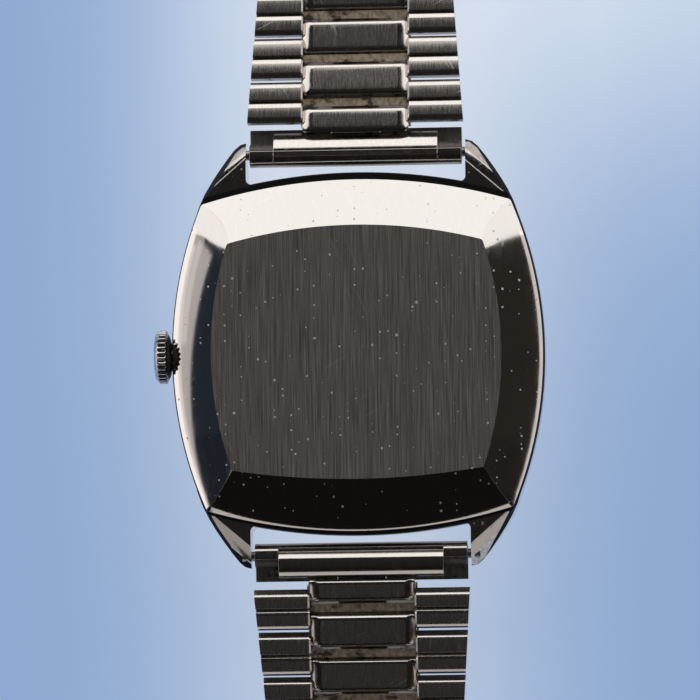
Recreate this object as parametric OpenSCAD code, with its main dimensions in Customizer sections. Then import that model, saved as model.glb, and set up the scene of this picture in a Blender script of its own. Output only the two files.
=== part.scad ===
// Tonneau wristwatch with a metal link bracelet, lying face down with the bracelet opened flat.
// The origin is the centre of the crystal's flat face; +Z is the case back, +Y is twelve o'clock.

/* [Case] */
// Width of the case, without the crown
case_w = 30.6; // [29.8:0.1:32]
// Length of the case body between the lugs
case_l = 29.8; // [29.2:0.1:30.4]
// Length from lug tip to lug tip
lug_span = 34.9; // [34.5:0.1:36]
// Radius of the long side curves
side_r = 32.3; // [31:0.1:35]
// Radius of the curves at twelve and six o'clock
end_r = 44.5; // [40:0.5:50]
// Gap between the two lugs of a pair
lug_gap = 18; // [17.6:0.1:18.4]
// Thickness of the case wall at its widest place
case_wall = 1.35; // [1.3:0.05:1.45]
// Height of the rim that the case back closes
seat_z = 5.6; // [5.4:0.1:5.8]
// Height of the spring bars above the crystal's face
bar_z = 4.6; // [4.4:0.1:4.8]
// Distance of each spring bar from the centre of the watch
bar_y = 16.45; // [16.35:0.05:16.6]

/* [Case back] */
// Thickness of the case back's flat middle
back_t = 0.9; // [0.7:0.05:1.1]
// Width of the case back's bevel at the sides
bevel_side = 3.2; // [3:0.1:3.4]
// Width of the case back's bevel at twelve and six o'clock
bevel_end = 3.9; // [3.7:0.1:4.1]
// Step from the case edge to the case back's edge
back_inset = 0.25; // [0.15:0.05:0.35]

/* [Crystal and dial] */
// Thickness of the crystal
crystal_t = 1.3; // [1.1:0.05:1.4]
// How far the crystal stands proud of the bezel
crystal_proud = 0.55; // [0.4:0.05:0.7]
// Room for the hands between crystal and dial
hand_room = 1.6; // [1.5:0.05:1.8]
// Thickness of the dial
dial_t = 0.4; // [0.3:0.05:0.5]

/* [Movement] */
// Diameter of the main plate
plate_d = 23.6; // [23.4:0.1:23.8]
// Thickness of the main plate
plate_t = 1.7; // [1.65:0.05:1.8]
// Thickness of the bridges
bridge_t = 0.65; // [0.55:0.05:0.75]
// Room between the main plate and the bridges
train_room = 1.35; // [1.3:0.05:1.5]
// Radial clearance of every pivot and shaft in its bore
fit = 0.02; // [0.015:0.005:0.03]

/* [Crown] */
// Diameter of the crown
crown_d = 4.4; // [4:0.1:4.6]
// Length of the crown
crown_len = 1.35; // [1.2:0.05:1.5]
// Number of flutes round the crown
crown_flutes = 36; // [30:1:44]
// Radius of the winding stem
stem_r = 0.45; // [0.35:0.05:0.45]

/* [Bracelet] */
// Length of one bracelet period, hinge to hinge
pitch = 3.85; // [3.8:0.05:4]
// Width of the bracelet at the case
band_w = 17.9; // [17.6:0.1:18]
// Width of the bracelet at the clasp
band_end_w = 12.6; // [12.2:0.1:13.4]
// How much narrower each period is than the one before
band_taper = 0.5; // [0.4:0.05:0.6]
// Thickness of the bracelet
band_t = 2; // [1.9:0.05:2.1]
// Width of the centre plates
plate_w = 8.4; // [8:0.1:8.6]
// Length of the centre plates
plate_len = 2.75; // [2.6:0.05:2.8]
// Gap between neighbouring side links
link_gap = 0.3; // [0.28:0.02:0.4]
// Periods modelled one by one in the twelve o'clock half
single_12 = 6; // [4:1:6]
// Periods modelled one by one in the six o'clock half
single_6 = 4; // [3:1:4]

/* [Clasp] */
// Length of the clasp cover
cover_len = 33; // [31:0.5:36]
// Thickness of the clasp's sheet metal
sheet = 0.45; // [0.4:0.05:0.5]

/* [Hidden] */
$fn = 96;
eps = 0.01;
LINKS_12 = ["link_12_1", "link_12_2", "link_12_3", "link_12_4", "link_12_5", "link_12_6",
    "link_12_7", "link_12_8"];
LINKS_6 = ["link_6_1", "link_6_2", "link_6_3", "link_6_4", "link_6_5", "link_6_6",
    "link_6_7", "link_6_8"];

// Heights, all counted from the crystal's flat face
bezel_z = crystal_proud;
flange_z = crystal_t + 0.5;
dial_z = crystal_t + hand_room;
plate_z = dial_z + dial_t;
train_z = plate_z + plate_t;
bridge_z = train_z + train_room;
winding_z = bridge_z + bridge_t;
wheel_t = 0.15;
winding_t = 0.3;
back_room = 0.2;
back_z = winding_z + winding_t + back_room;
back_top_z = back_z + back_t;

// Plan sizes of the case
crystal_inset = 2.5;
opening_inset = crystal_inset + 0.9;
seat_rabbet = 0.4;
lip_t = 0.6;
lip_h = 1;
lip_z = seat_z - lip_h;
lip_gap = 0.03;
ring_gap = 0.05;

// Winding works
winding_pinion_r = 1.05;
stem_z = plate_z + winding_pinion_r + 0.1;
skirt_r = 2.25;
skirt_t = 0.5;
pinion_len = 1;
post_r = 0.8;
winding_pos = [-7.6, 0];
pinion_x = winding_pos[0] - skirt_r + skirt_t / 2;
crown_gap = 0.1;
crown_x = -(case_w / 2 + crown_gap);
tube_r = stem_r + 0.25;

// Wheel train: tooth counts, modules and places
barrel_n = 72;
center_pinion_n = 12;
barrel_m = 0.12;
center_n = 80;
third_pinion_n = 10;
center_m = 0.1;
third_n = 75;
fourth_pinion_n = 10;
third_m = 0.08;
fourth_n = 70;
escape_pinion_n = 7;
fourth_m = 0.07;
escape_n = 15;
escape_r = 1.9;
winding_n = 48;
ratchet_n = 66;
winding_m = 0.124;
winding_pinion_n = 18;
cannon_n = 12;
minute_n = 36;
minute_pinion_n = 10;
hour_n = 40;
motion_dist = 2.4;
barrel_angle = 100;
fourth_dist = 5.2;
barrel_dist = barrel_m * (barrel_n + center_pinion_n) / 2;
third_dist = center_m * (center_n + third_pinion_n) / 2;
third_fourth_dist = third_m * (third_n + fourth_pinion_n) / 2;
escape_dist = fourth_m * (fourth_n + escape_pinion_n) / 2;
barrel_pos = barrel_dist * [cos(barrel_angle), sin(barrel_angle)];
fourth_pos = [0, -fourth_dist];
third_turn = acos((pow(third_dist, 2) + pow(fourth_dist, 2) - pow(third_fourth_dist, 2))
    / (2 * third_dist * fourth_dist));
third_angle = third_turn - 90;
third_pos = third_dist * [cos(third_angle), sin(third_angle)];
escape_angle = -108.4;
escape_pos = fourth_pos + escape_dist * [cos(escape_angle), sin(escape_angle)];
balance_pos = [-5.2, -5.5];
balance_r = 3.3;
pallet_dist = 2.3;
pallet_pos = escape_pos + pallet_dist * (balance_pos - escape_pos) / norm(balance_pos - escape_pos);
pallet_angle = atan2(balance_pos[1] - escape_pos[1], balance_pos[0] - escape_pos[0]);
motion_angle = 40;
minute_pos = motion_dist * [cos(motion_angle), sin(motion_angle)];
winding_dist = norm(barrel_pos - winding_pos);
ratchet_r = winding_dist * ratchet_n / (ratchet_n + winding_n);
crown_wheel_r = winding_dist * winding_n / (ratchet_n + winding_n);

// Levels of the train
center_z = train_z + 0.05;
pinion_z = train_z + 0.3;
barrel_h = 0.95;
barrel_arbor_r = 0.5;
escape_z = train_z + 0.35;
third_z = train_z + 0.6;
fourth_z = train_z + 0.95;
balance_z = train_z + 1.25;
spring_z = balance_z + 0.35;
cock_z = spring_z + 0.25;
cock_t = back_z - cock_z - 0.05;
pivot_r = 0.1;
arbor_r = 0.2;
jewel_r = 0.6;
jewel_t = 0.3;

// Bracelet, drawn with u along it, v up through it and x across it
end_len = 2.3;
axis_v = -0.1;
knuckle_r = 0.5;
pin_r = 0.25;
knuckle_in = 1.9;
knuckle_gap = 0.1;
half_t = band_t / 2;
bevel = 0.3;
groove = 0.1;
bar_tube_r = 1.05;
bar_r = 0.75;
bar_pin_r = 0.4;
bar_hole = 0.9;
pin_fit = 0.04;
double_12 = len(LINKS_12) - single_12;
double_6 = len(LINKS_6) - single_6;
hinge_z = half_t + axis_v;

// Slopes of the end piece and of the first links as they come down to the table
slopes = [-8, -15, -17, -13];
drop_z = bar_z - hinge_z + end_len * sin(slopes[0])
    + pitch * (sin(slopes[1]) + sin(slopes[2]) + sin(slopes[3]));
last_slope = -asin(drop_z / pitch);
function slope(k) = k < len(slopes) ? slopes[k] : k == len(slopes) ? last_slope : 0;
function reach(k) = k == 0 ? end_len : pitch;
// Places, as [y, z], of the hinge that piece k of a half turns on; piece 0 is the end piece
function hinge(k) = k == 0 ? [bar_y, bar_z]
    : hinge(k - 1) + reach(k - 1) * [cos(slope(k - 1)), sin(slope(k - 1))];
function link_w(k) = max(band_end_w, band_w - band_taper * (k - 1));
function first_period(i, singles) = i <= singles ? i : singles + 2 * (i - singles) - 1;
periods_12 = single_12 + 2 * double_12;
periods_6 = single_6 + 2 * double_6;

// Plan outline of the case, drawn in by an inset
module outline(inset) {
    intersection() {
        translate([side_r - case_w / 2, 0]) circle(side_r - inset, $fn = 240);
        translate([case_w / 2 - side_r, 0]) circle(side_r - inset, $fn = 240);
        translate([0, end_r - case_l / 2]) circle(end_r - inset, $fn = 240);
        translate([0, case_l / 2 - end_r]) circle(end_r - inset, $fn = 240);
    }
}

// A flat slab with the case's outline
module slab(inset, z0, z1) {
    translate([0, 0, z0]) linear_extrude(z1 - z0) outline(inset);
}

// A disc whose edge follows a profile of [inset, z] points
module turned(r, profile) {
    last = profile[len(profile) - 1];
    rotate_extrude($fn = 240)
        polygon([[0, profile[0][1]], for (p = profile) [r - p[0], p[1]], [0, last[1]]]);
}

// Two turned discs crossed, for the long sides of the case
module turned_sides(profile) {
    intersection() {
        translate([side_r - case_w / 2, 0, 0]) turned(side_r, profile);
        translate([case_w / 2 - side_r, 0, 0]) turned(side_r, profile);
    }
}

// The same for the ends at twelve and six o'clock
module turned_ends(profile) {
    intersection() {
        translate([0, end_r - case_l / 2, 0]) turned(end_r, profile);
        translate([0, case_l / 2 - end_r, 0]) turned(end_r, profile);
    }
}

case_profile = [[1.1, bezel_z], [0.9, bezel_z + 0.08], [0.15, 2.1], [0, 2.7], [0, seat_z - 0.7],
    [back_inset / 2, seat_z - 0.15], [back_inset, seat_z]];

// One lug, between its inner face and the side of the case
lug_tip_r = 1;
lug_root = 4;
lug_heel = 1.5;
module lug_bar() {
    tip_y = lug_span / 2 - lug_tip_r;
    root_y = case_l / 2 - lug_root;
    touch = 57;
    rotate([90, 0, 90]) translate([0, 0, lug_gap / 2]) linear_extrude(case_w / 2 - lug_gap / 2) {
        translate([tip_y, bar_z]) circle(lug_tip_r);
        polygon([[root_y, bezel_z], [root_y + lug_heel, bezel_z],
            [tip_y + lug_tip_r * cos(touch), bar_z - lug_tip_r * sin(touch)],
            [tip_y, bar_z + lug_tip_r], [root_y, seat_z]]);
    }
}

// The sloping facets on the back of a lug, as blocks to cut away
facet_corner = 2.4;
facet_block = [6, 14, 3];
module lug_facets() {
    corner = [case_w / 2 - facet_corner, case_l / 2 - facet_corner, seat_z - 0.1];
    translate(corner) rotate([0, 0, -40]) rotate([0, 32, 0])
        translate([-0.2, -3, 0]) cube(facet_block);
    translate(corner + [-0.6, 1.5, -0.65]) rotate([0, 0, -36]) rotate([0, 62, 0])
        translate([-0.5, -3, 0]) cube(facet_block);
}

module case_middle() {
    color("silver") difference() {
        intersection() {
            turned_sides(case_profile);
            union() {
                turned_ends(case_profile);
                for (side = [0, 1], end = [0, 1]) mirror([side, 0, 0]) mirror([0, end, 0]) lug_bar();
            }
        }
        slab(crystal_inset, 0, crystal_t);
        slab(opening_inset, 0, flange_z + eps);
        slab(case_wall, flange_z, seat_z + 1);
        slab(case_wall - seat_rabbet, seat_z - seat_rabbet, seat_z + 1);
        for (side = [0, 1], end = [0, 1]) mirror([side, 0, 0]) mirror([0, end, 0]) {
            difference() {
                lug_facets();
                turned_ends([[-0.15, 0], [-0.15, seat_z + 4]]);
            }
            translate([lug_gap / 2 - 1, bar_y, bar_z]) rotate([0, 90, 0])
                cylinder(r = bar_pin_r + fit, h = 1 + bar_hole);
        }
        translate([-case_w / 2 - 1, 0, stem_z]) rotate([0, 90, 0]) cylinder(r = tube_r, h = 5);
    }
}

// Height of the bevel above the case back's edge, at a share t of its width
back_edge = 0.3;
end_step = 0.4;
bevel_z = seat_z + back_edge;
bevel_rise = back_top_z - bevel_z;
function bevel_rise_at(t) = bevel_rise * (1.4 * t - 0.4 * t * t);
function bevel_profile(width, inset) = [[inset, seat_z], [inset, bevel_z],
    for (t = [1 : 6]) [inset + width * t / 6, bevel_z + bevel_rise_at(t / 6)]];
// The hollow under it, which starts inside the lip
lip_in = case_wall + lip_gap + lip_t;
hollow_in = 0.25;
function hollow_profile(width, inset) = [[lip_in, lip_z - 1], [lip_in, bevel_z + back_edge],
    for (t = [3 : 6]) [inset + hollow_in + width * t / 6, bevel_z + bevel_rise_at(t / 6) - back_t]];

module case_back() {
    end_inset = back_inset + end_step;
    color("lightgray") difference() {
        union() {
            intersection() {
                turned_sides(bevel_profile(bevel_side, back_inset));
                turned_ends(bevel_profile(bevel_end, end_inset));
            }
            slab(case_wall + lip_gap, lip_z, seat_z + 0.1);
        }
        intersection() {
            turned_sides(hollow_profile(bevel_side, back_inset));
            turned_ends(hollow_profile(bevel_end, end_inset));
        }
        translate([-case_w / 2, 0, stem_z]) rotate([0, 90, 0]) cylinder(r = stem_r + 0.3, h = 5);
    }
}

gasket_gap = 0.02;
module back_gasket() {
    color("dimgray") difference() {
        slab(case_wall - seat_rabbet + gasket_gap, seat_z - seat_rabbet + gasket_gap,
            seat_z - gasket_gap);
        slab(case_wall, 0, seat_z + 1);
    }
}

module crystal() {
    color("lightcyan") slab(crystal_inset + 0.01, 0, crystal_t);
}

module dial_ring() {
    color("silver") difference() {
        slab(case_wall + ring_gap, flange_z, dial_z);
        intersection() {
            turned_sides([[opening_inset + 0.1, 0], [opening_inset + 0.1, flange_z],
                [opening_inset + 0.6, dial_z], [opening_inset + 0.6, dial_z + 1]]);
            turned_ends([[opening_inset + 0.1, 0], [opening_inset + 0.1, flange_z],
                [opening_inset + 0.6, dial_z], [opening_inset + 0.6, dial_z + 1]]);
        }
    }
}

hour_tube_r = 0.9;
seconds_bore_r = 0.3;
dial_foot = [9, 5];
dial_foot_r = 0.35;
dial_foot_h = 0.8;
module dial() {
    color("whitesmoke") difference() {
        union() {
            slab(case_wall + ring_gap, dial_z, plate_z);
            for (side = [-1, 1]) translate([side * dial_foot[0], dial_foot[1], plate_z])
                cylinder(r = dial_foot_r, h = dial_foot_h);
        }
        translate([0, 0, dial_z - 1]) cylinder(r = hour_tube_r + 0.1, h = 3);
        translate([fourth_pos[0], fourth_pos[1], dial_z - 1]) cylinder(r = seconds_bore_r, h = 3);
    }
}

marker_t = 0.12;
marker_w = 0.44;
marker_len = 1.7;
marker_end_r = 10.6;
quarter_end_r = 10;
seconds_ring_r = 2.6;
seconds_ring_w = 0.15;
module hour_markers() {
    color("silver") for (h = [0 : 11]) {
        out = h % 3 == 0 ? quarter_end_r : marker_end_r;
        if (h != 6) translate([0, 0, dial_z - marker_t]) rotate([0, 0, 90 + h * 360 / 12])
            translate([out - marker_len, -marker_w / 2, 0]) cube([marker_len, marker_w, marker_t]);
    }
    color("silver") translate([fourth_pos[0], fourth_pos[1], dial_z - marker_t]) difference() {
        cylinder(r = seconds_ring_r, h = marker_t);
        translate([0, 0, -1]) cylinder(r = seconds_ring_r - seconds_ring_w, h = 3);
    }
}

// A flat hand that points along +Y, with its boss
module hand(len_out, len_back, width, bore, boss, z, t) {
    translate([0, 0, z]) difference() {
        union() {
            linear_extrude(t) polygon([[-width / 2, -len_back], [width / 2, -len_back],
                [width / 2, len_out * 0.8], [0, len_out], [-width / 2, len_out * 0.8]]);
            cylinder(r = boss, h = t);
        }
        translate([0, 0, -1]) cylinder(r = bore, h = 3);
    }
}

cannon_r = 0.55;
minute_hand_z = crystal_t + 0.35;
minute_hand_t = 0.14;
hour_hand_z = crystal_t + 0.75;
hour_hand_t = 0.16;
seconds_hand_z = dial_z - 0.4;
hand_turn_hour = 54;
hand_turn_minute = -60;
module hour_hand() {
    color("silver") rotate([0, 0, hand_turn_hour]) hand(len_out = 5.6, len_back = 1.2, width = 0.9,
        bore = hour_tube_r - 0.15, boss = 1.1, z = hour_hand_z, t = hour_hand_t);
}
module minute_hand() {
    color("silver") rotate([0, 0, hand_turn_minute]) hand(len_out = 8.8, len_back = 1.6, width = 0.7,
        bore = cannon_r - 0.2, boss = 0.8, z = minute_hand_z, t = minute_hand_t);
}
module seconds_hand() {
    color("silver") translate([fourth_pos[0], fourth_pos[1], 0]) rotate([0, 0, 180])
        hand(len_out = 2.1, len_back = 0.8, width = 0.22,
            bore = 0.12, boss = 0.35, z = seconds_hand_z, t = 0.1);
}

flute = 0.1;
crown_skirt = 0.2;
crown_cap = 0.15;
stem_grip = 0.5;
module crown() {
    band = crown_len - crown_skirt - crown_cap;
    r = crown_d / 2;
    color("silver") translate([crown_x, 0, stem_z]) rotate([0, -90, 0]) difference() {
        union() {
            cylinder(r1 = r - 0.35, r2 = r - flute, h = crown_skirt);
            translate([0, 0, crown_skirt]) linear_extrude(band)
                polygon([for (i = [0 : 2 * crown_flutes - 1]) let (a = i * 180 / crown_flutes,
                    rr = i % 2 == 0 ? r : r - flute) [rr * cos(a), rr * sin(a)]]);
            translate([0, 0, crown_skirt + band]) cylinder(r1 = r - flute, r2 = r - 0.4, h = crown_cap);
        }
        translate([0, 0, -1]) cylinder(r = tube_r + 0.1, h = 1 + crown_len - stem_grip);
    }
}

tube_out = 0.5;
module crown_tube() {
    color("gray") translate([crown_x - tube_out, 0, stem_z]) rotate([0, 90, 0]) difference() {
        cylinder(r = tube_r, h = case_wall + crown_gap + tube_out);
        translate([0, 0, -1]) cylinder(r = stem_r + fit, h = 5);
    }
}

stem_in = -5.4;
module winding_stem() {
    color("gray") translate([crown_x - crown_len + stem_grip, 0, stem_z]) rotate([0, 90, 0])
        cylinder(r = stem_r, h = stem_in - crown_x + crown_len - stem_grip);
}

// A spur gear's outline, with flat-topped teeth narrower than the gaps
module gear2d(n, r, m) {
    p = 360 / n;
    tip = r + 0.85 * m;
    root = r - 1.15 * m;
    polygon([for (i = [0 : n - 1], c = [[root, -0.27], [tip, -0.1], [tip, 0.1], [root, 0.27]])
        c[0] * [cos((i + c[1]) * p), sin((i + c[1]) * p)]]);
}

// A wheel with spokes: teeth outside, open between rim and hub
module wheel(n, r, m, t, spokes = 4) {
    rim = r - 1.15 * m - 0.3;
    hub = 0.55;
    linear_extrude(t) difference() {
        gear2d(n, r, m);
        if (rim > 1.2) difference() {
            circle(rim);
            circle(hub);
            for (k = [0 : spokes - 1]) rotate(k * 360 / spokes) translate([0, -0.16]) square([rim, 0.32]);
        }
    }
}

// An arbor with a thin pivot at each end
module arbor(z0, z1, low, high) {
    translate([0, 0, z0]) cylinder(r = arbor_r, h = z1 - z0);
    translate([0, 0, z0 - low]) cylinder(r = pivot_r, h = low + high + z1 - z0);
}

module winding_pinion() {
    m = 0.12;
    color("gray") translate([pinion_x - pinion_len / 2, 0, stem_z]) rotate([0, 90, 0]) difference() {
        linear_extrude(pinion_len) gear2d(winding_pinion_n, winding_pinion_r - m, m);
        translate([0, 0, -1]) cylinder(r = stem_r + fit, h = 3);
    }
}

module ratchet_wheel() {
    mesh = atan2(winding_pos[1] - barrel_pos[1], winding_pos[0] - barrel_pos[0]);
    color("lightgray") translate([barrel_pos[0], barrel_pos[1], winding_z]) difference() {
        rotate([0, 0, mesh]) linear_extrude(winding_t) gear2d(ratchet_n, ratchet_r, winding_m);
        translate([0, 0, -1]) cylinder(r = barrel_arbor_r + eps, h = 3);
    }
    color("gray") translate([barrel_pos[0], barrel_pos[1], 0]) {
        translate([0, 0, train_z - 0.5])
            cylinder(r = barrel_arbor_r, h = winding_z + winding_t - train_z + 0.5);
        translate([0, 0, pinion_z + 0.2]) cylinder(r = 1, h = barrel_h - 0.4);
    }
}

module crown_wheel() {
    skirt_z = stem_z + winding_pinion_r + 0.15;
    turn = atan2(barrel_pos[1] - winding_pos[1], barrel_pos[0] - winding_pos[0]);
    color("lightgray") translate([winding_pos[0], winding_pos[1], 0]) rotate([0, 0, turn]) {
        translate([0, 0, winding_z]) difference() {
            linear_extrude(winding_t) rotate(180 / winding_n)
                gear2d(winding_n, crown_wheel_r, winding_m);
            translate([0, 0, -1]) cylinder(r = post_r + fit, h = 3);
        }
        translate([0, 0, skirt_z]) difference() {
            cylinder(r = skirt_r, h = winding_z - skirt_z);
            translate([0, 0, -1]) cylinder(r = skirt_r - skirt_t, h = 5);
        }
    }
}

click_angle = 35;
click_pos = barrel_pos + (ratchet_r + 0.75) * [cos(click_angle), sin(click_angle)];
click_post_r = 0.25;
click_reach = 1.5;
module click() {
    color("lightgray") translate([click_pos[0], click_pos[1], winding_z]) difference() {
        union() {
            cylinder(r = 2 * click_post_r, h = winding_t);
            rotate([0, 0, click_angle + 115]) translate([0, -0.2, 0])
                cube([click_reach, 0.35, winding_t]);
        }
        translate([0, 0, -1]) cylinder(r = click_post_r + fit, h = 3);
    }
}

module mainspring_barrel() {
    r = barrel_m * barrel_n / 2;
    color("khaki") translate([barrel_pos[0], barrel_pos[1], pinion_z]) difference() {
        union() {
            linear_extrude(0.35) gear2d(barrel_n, r, barrel_m);
            cylinder(r = r - 0.25, h = barrel_h);
        }
        translate([0, 0, 0.15]) cylinder(r = r - 0.5, h = barrel_h - 0.3);
        translate([0, 0, -1]) cylinder(r = barrel_arbor_r + fit, h = 3);
    }
}

// A flat ribbon wound from an inner to an outer radius
module spiral(r0, r1, turns, t, h) {
    steps = 24 * turns;
    function at(i, side) = let (r = r0 + (r1 - r0) * i / steps + side * t / 2, a = i * 15)
        [r * cos(a), r * sin(a)];
    linear_extrude(h) polygon([for (i = [0 : steps]) at(i, 1), for (i = [steps : -1 : 0]) at(i, -1)]);
}

module mainspring() {
    color("steelblue") translate([barrel_pos[0], barrel_pos[1], pinion_z + 0.22])
        spiral(1.08, barrel_m * barrel_n / 2 - 0.58, 7, 0.12, barrel_h - 0.44);
}

module center_wheel() {
    color("khaki") {
        translate([0, 0, center_z]) rotate([0, 0, third_angle]) difference() {
            wheel(center_n, center_m * center_n / 2, center_m, wheel_t);
            translate([0, 0, -1]) cylinder(r = arbor_r, h = 3);
        }
        translate([0, 0, pinion_z]) rotate([0, 0, barrel_angle + 180 / center_pinion_n])
            linear_extrude(0.7) gear2d(center_pinion_n, barrel_m * center_pinion_n / 2, barrel_m);
        translate([0, 0, center_z + wheel_t]) cylinder(r = 0.45, h = pinion_z - center_z - wheel_t);
    }
    color("gray") {
        translate([0, 0, minute_hand_z]) cylinder(r = arbor_r, h = center_z + wheel_t - minute_hand_z);
        translate([0, 0, pinion_z + 0.7]) cylinder(r = 0.3, h = bridge_z + bridge_t - pinion_z - 0.7);
    }
}

module third_wheel() {
    fourth_turn = atan2(fourth_pos[1] - third_pos[1], fourth_pos[0] - third_pos[0]);
    translate([third_pos[0], third_pos[1], 0]) {
        color("khaki") translate([0, 0, third_z]) rotate([0, 0, fourth_turn])
            wheel(third_n, third_m * third_n / 2, third_m, wheel_t);
        color("gray") {
            translate([0, 0, center_z]) rotate([0, 0, third_angle + 180 + 180 / third_pinion_n])
                linear_extrude(0.4) gear2d(third_pinion_n, center_m * third_pinion_n / 2, center_m);
            arbor(center_z, bridge_z - 0.05, 0.3, 0.35);
        }
    }
}

module fourth_wheel() {
    third_turn_back = atan2(third_pos[1] - fourth_pos[1], third_pos[0] - fourth_pos[0]);
    translate([fourth_pos[0], fourth_pos[1], 0]) {
        color("khaki") translate([0, 0, fourth_z]) rotate([0, 0, escape_angle])
            wheel(fourth_n, fourth_m * fourth_n / 2, fourth_m, wheel_t);
        color("gray") {
            translate([0, 0, pinion_z]) rotate([0, 0, third_turn_back + 180 / fourth_pinion_n])
                linear_extrude(0.6) gear2d(fourth_pinion_n, third_m * fourth_pinion_n / 2, third_m);
            arbor(train_z + 0.05, bridge_z - 0.05, train_z + 0.05 - seconds_hand_z, 0.35);
        }
    }
}

module escape_wheel() {
    translate([escape_pos[0], escape_pos[1], 0]) {
        color("khaki") translate([0, 0, escape_z]) linear_extrude(wheel_t) {
            difference() {
                circle(escape_r - 0.45);
                circle(escape_r - 0.75);
            }
            for (k = [0 : 3]) rotate(k * 90) translate([0, -0.12]) square([escape_r - 0.5, 0.24]);
            for (k = [0 : escape_n - 1]) rotate(k * 360 / escape_n + 12)
                polygon([[escape_r - 0.5, -0.16], [escape_r, 0.1], [escape_r - 0.04, 0.18],
                    [escape_r - 0.5, 0.14]]);
        }
        color("gray") {
            translate([0, 0, escape_z + wheel_t]) rotate([0, 0, escape_angle + 180 + 180 / escape_pinion_n])
                linear_extrude(fourth_z + wheel_t - escape_z)
                    gear2d(escape_pinion_n, fourth_m * escape_pinion_n / 2, fourth_m * 0.9);
            arbor(train_z + 0.05, bridge_z - 0.05, 0.3, 0.35);
        }
    }
}

module pallet_fork() {
    fork_z = escape_z;
    reach_out = norm(balance_pos - pallet_pos) - 0.35;
    translate([pallet_pos[0], pallet_pos[1], 0]) rotate([0, 0, pallet_angle]) {
        color("gray") {
            translate([0, 0, fork_z]) linear_extrude(wheel_t) difference() {
                union() {
                    translate([0, -0.15]) square([reach_out, 0.3]);
                    translate([-0.3, -1.3]) square([0.45, 2.6]);
                    translate([reach_out - 0.45, -0.3]) square([0.45, 0.6]);
                }
                translate([reach_out - 0.4, -0.14]) square([1, 0.28]);
            }
            arbor(train_z + 0.05, fourth_z - 0.15, 0.3, 0.25);
        }
        color("crimson") for (s = [-1, 1]) translate([-0.5, s * 1.1 - 0.1, fork_z])
            cube([0.2, 0.2, wheel_t]);
    }
}

module balance_wheel() {
    rim_t = 0.25;
    translate([balance_pos[0], balance_pos[1], 0]) {
        color("gold") translate([0, 0, balance_z]) linear_extrude(rim_t) {
            difference() {
                circle(balance_r);
                circle(balance_r - 0.4);
            }
            for (k = [0 : 2]) rotate(k * 120 + 30) translate([0, -0.2]) square([balance_r - 0.2, 0.4]);
            circle(0.6);
        }
        color("gray") {
            arbor(train_z + 0.05, cock_z - 0.05, 0.3, 0.3);
            translate([0, 0, fourth_z]) cylinder(r = 0.7, h = 0.12);
        }
        color("crimson") rotate([0, 0, pallet_angle + 180]) translate([0.45, 0, escape_z + wheel_t + 0.05])
            cylinder(r = 0.08, h = fourth_z - escape_z - wheel_t - 0.05);
    }
}

module hairspring() {
    color("steelblue") translate([balance_pos[0], balance_pos[1], spring_z]) {
        spiral(0.42, 1.9, 7, 0.05, 0.12);
        difference() {
            cylinder(r = 0.42, h = 0.15);
            translate([0, 0, -1]) cylinder(r = arbor_r, h = 3);
        }
    }
}

// Bores for a wheel: a jewel seat or a plain hole
module bore(p, r) {
    translate([p[0], p[1], 0]) cylinder(r = r, h = 20);
}
plate_jewels = [third_pos, fourth_pos, escape_pos, pallet_pos, balance_pos];
bridge_jewels = [third_pos, fourth_pos, escape_pos];

screw_r = 0.55;
thread_r = 0.3;
screw_ring_r = plate_d / 2 - 1.6;
barrel_screws = [for (a = [20, 75, 128]) screw_ring_r * [cos(a), sin(a)]];
train_screws = [for (a = [-12, -58]) screw_ring_r * [cos(a), sin(a)]];
cock_foot = [-9.4, -4.6];
cock_foot_r = 0.8;
bridge_r = plate_d / 2 - 0.85;
bridge_foot_in = plate_d / 2 - 2.1;
post_top = winding_z + 0.08;

hour_recess_r = 2.45;
minute_recess_r = 2.2;
minute_post_r = 0.25;
module main_plate() {
    recess = plate_t / 2;
    color("silver") difference() {
        union() {
            translate([0, 0, plate_z]) cylinder(d = plate_d, h = plate_t);
            translate([winding_pos[0], winding_pos[1], train_z]) cylinder(r = post_r, h = post_top - train_z);
        }
        translate([winding_pos[0], winding_pos[1], post_top - 0.6]) cylinder(r = thread_r, h = 1);
        translate([0, 0, plate_z - eps]) cylinder(r = hour_recess_r, h = recess);
        translate([minute_pos[0], minute_pos[1], plate_z - eps])
            cylinder(r = minute_recess_r, h = recess);
        bore([0, 0], arbor_r + fit);
        bore(fourth_pos, pivot_r + fit);
        bore(barrel_pos, barrel_arbor_r + fit);
        for (p = plate_jewels) translate([p[0], p[1], train_z - jewel_t]) cylinder(r = jewel_r, h = 1);
        for (p = [third_pos, escape_pos, pallet_pos, balance_pos]) bore(p, pivot_r + fit);
        for (p = concat(barrel_screws, train_screws, [cock_foot])) bore(p, thread_r);
        for (side = [-1, 1]) translate([side * dial_foot[0], dial_foot[1], plate_z - eps])
            cylinder(r = dial_foot_r + fit, h = dial_foot_h + 0.1);
        translate([-plate_d, 0, stem_z]) rotate([0, 90, 0])
            cylinder(r = stem_r + fit, h = plate_d + stem_in + 0.2);
        translate([pinion_x - pinion_len / 2 - 0.1, -winding_pinion_r - 0.1,
            stem_z - winding_pinion_r - 0.05]) cube([pinion_len + 0.2, 2 * winding_pinion_r + 0.2, 5]);
    }
    color("silver") translate([minute_pos[0], minute_pos[1], plate_z + 0.06])
        cylinder(r = minute_post_r, h = recess - 0.06);
}

// A half-moon of bridge plate with a foot round its edge down to the main plate
module bridge_half(cut_y) {
    module half() {
        intersection() {
            circle(bridge_r);
            translate([-plate_d, cut_y]) square([2 * plate_d, plate_d]);
        }
    }
    translate([0, 0, bridge_z]) linear_extrude(bridge_t) half();
    translate([0, 0, train_z]) linear_extrude(train_room + eps) difference() {
        half();
        circle(bridge_foot_in + 0.2);
    }
}

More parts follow.
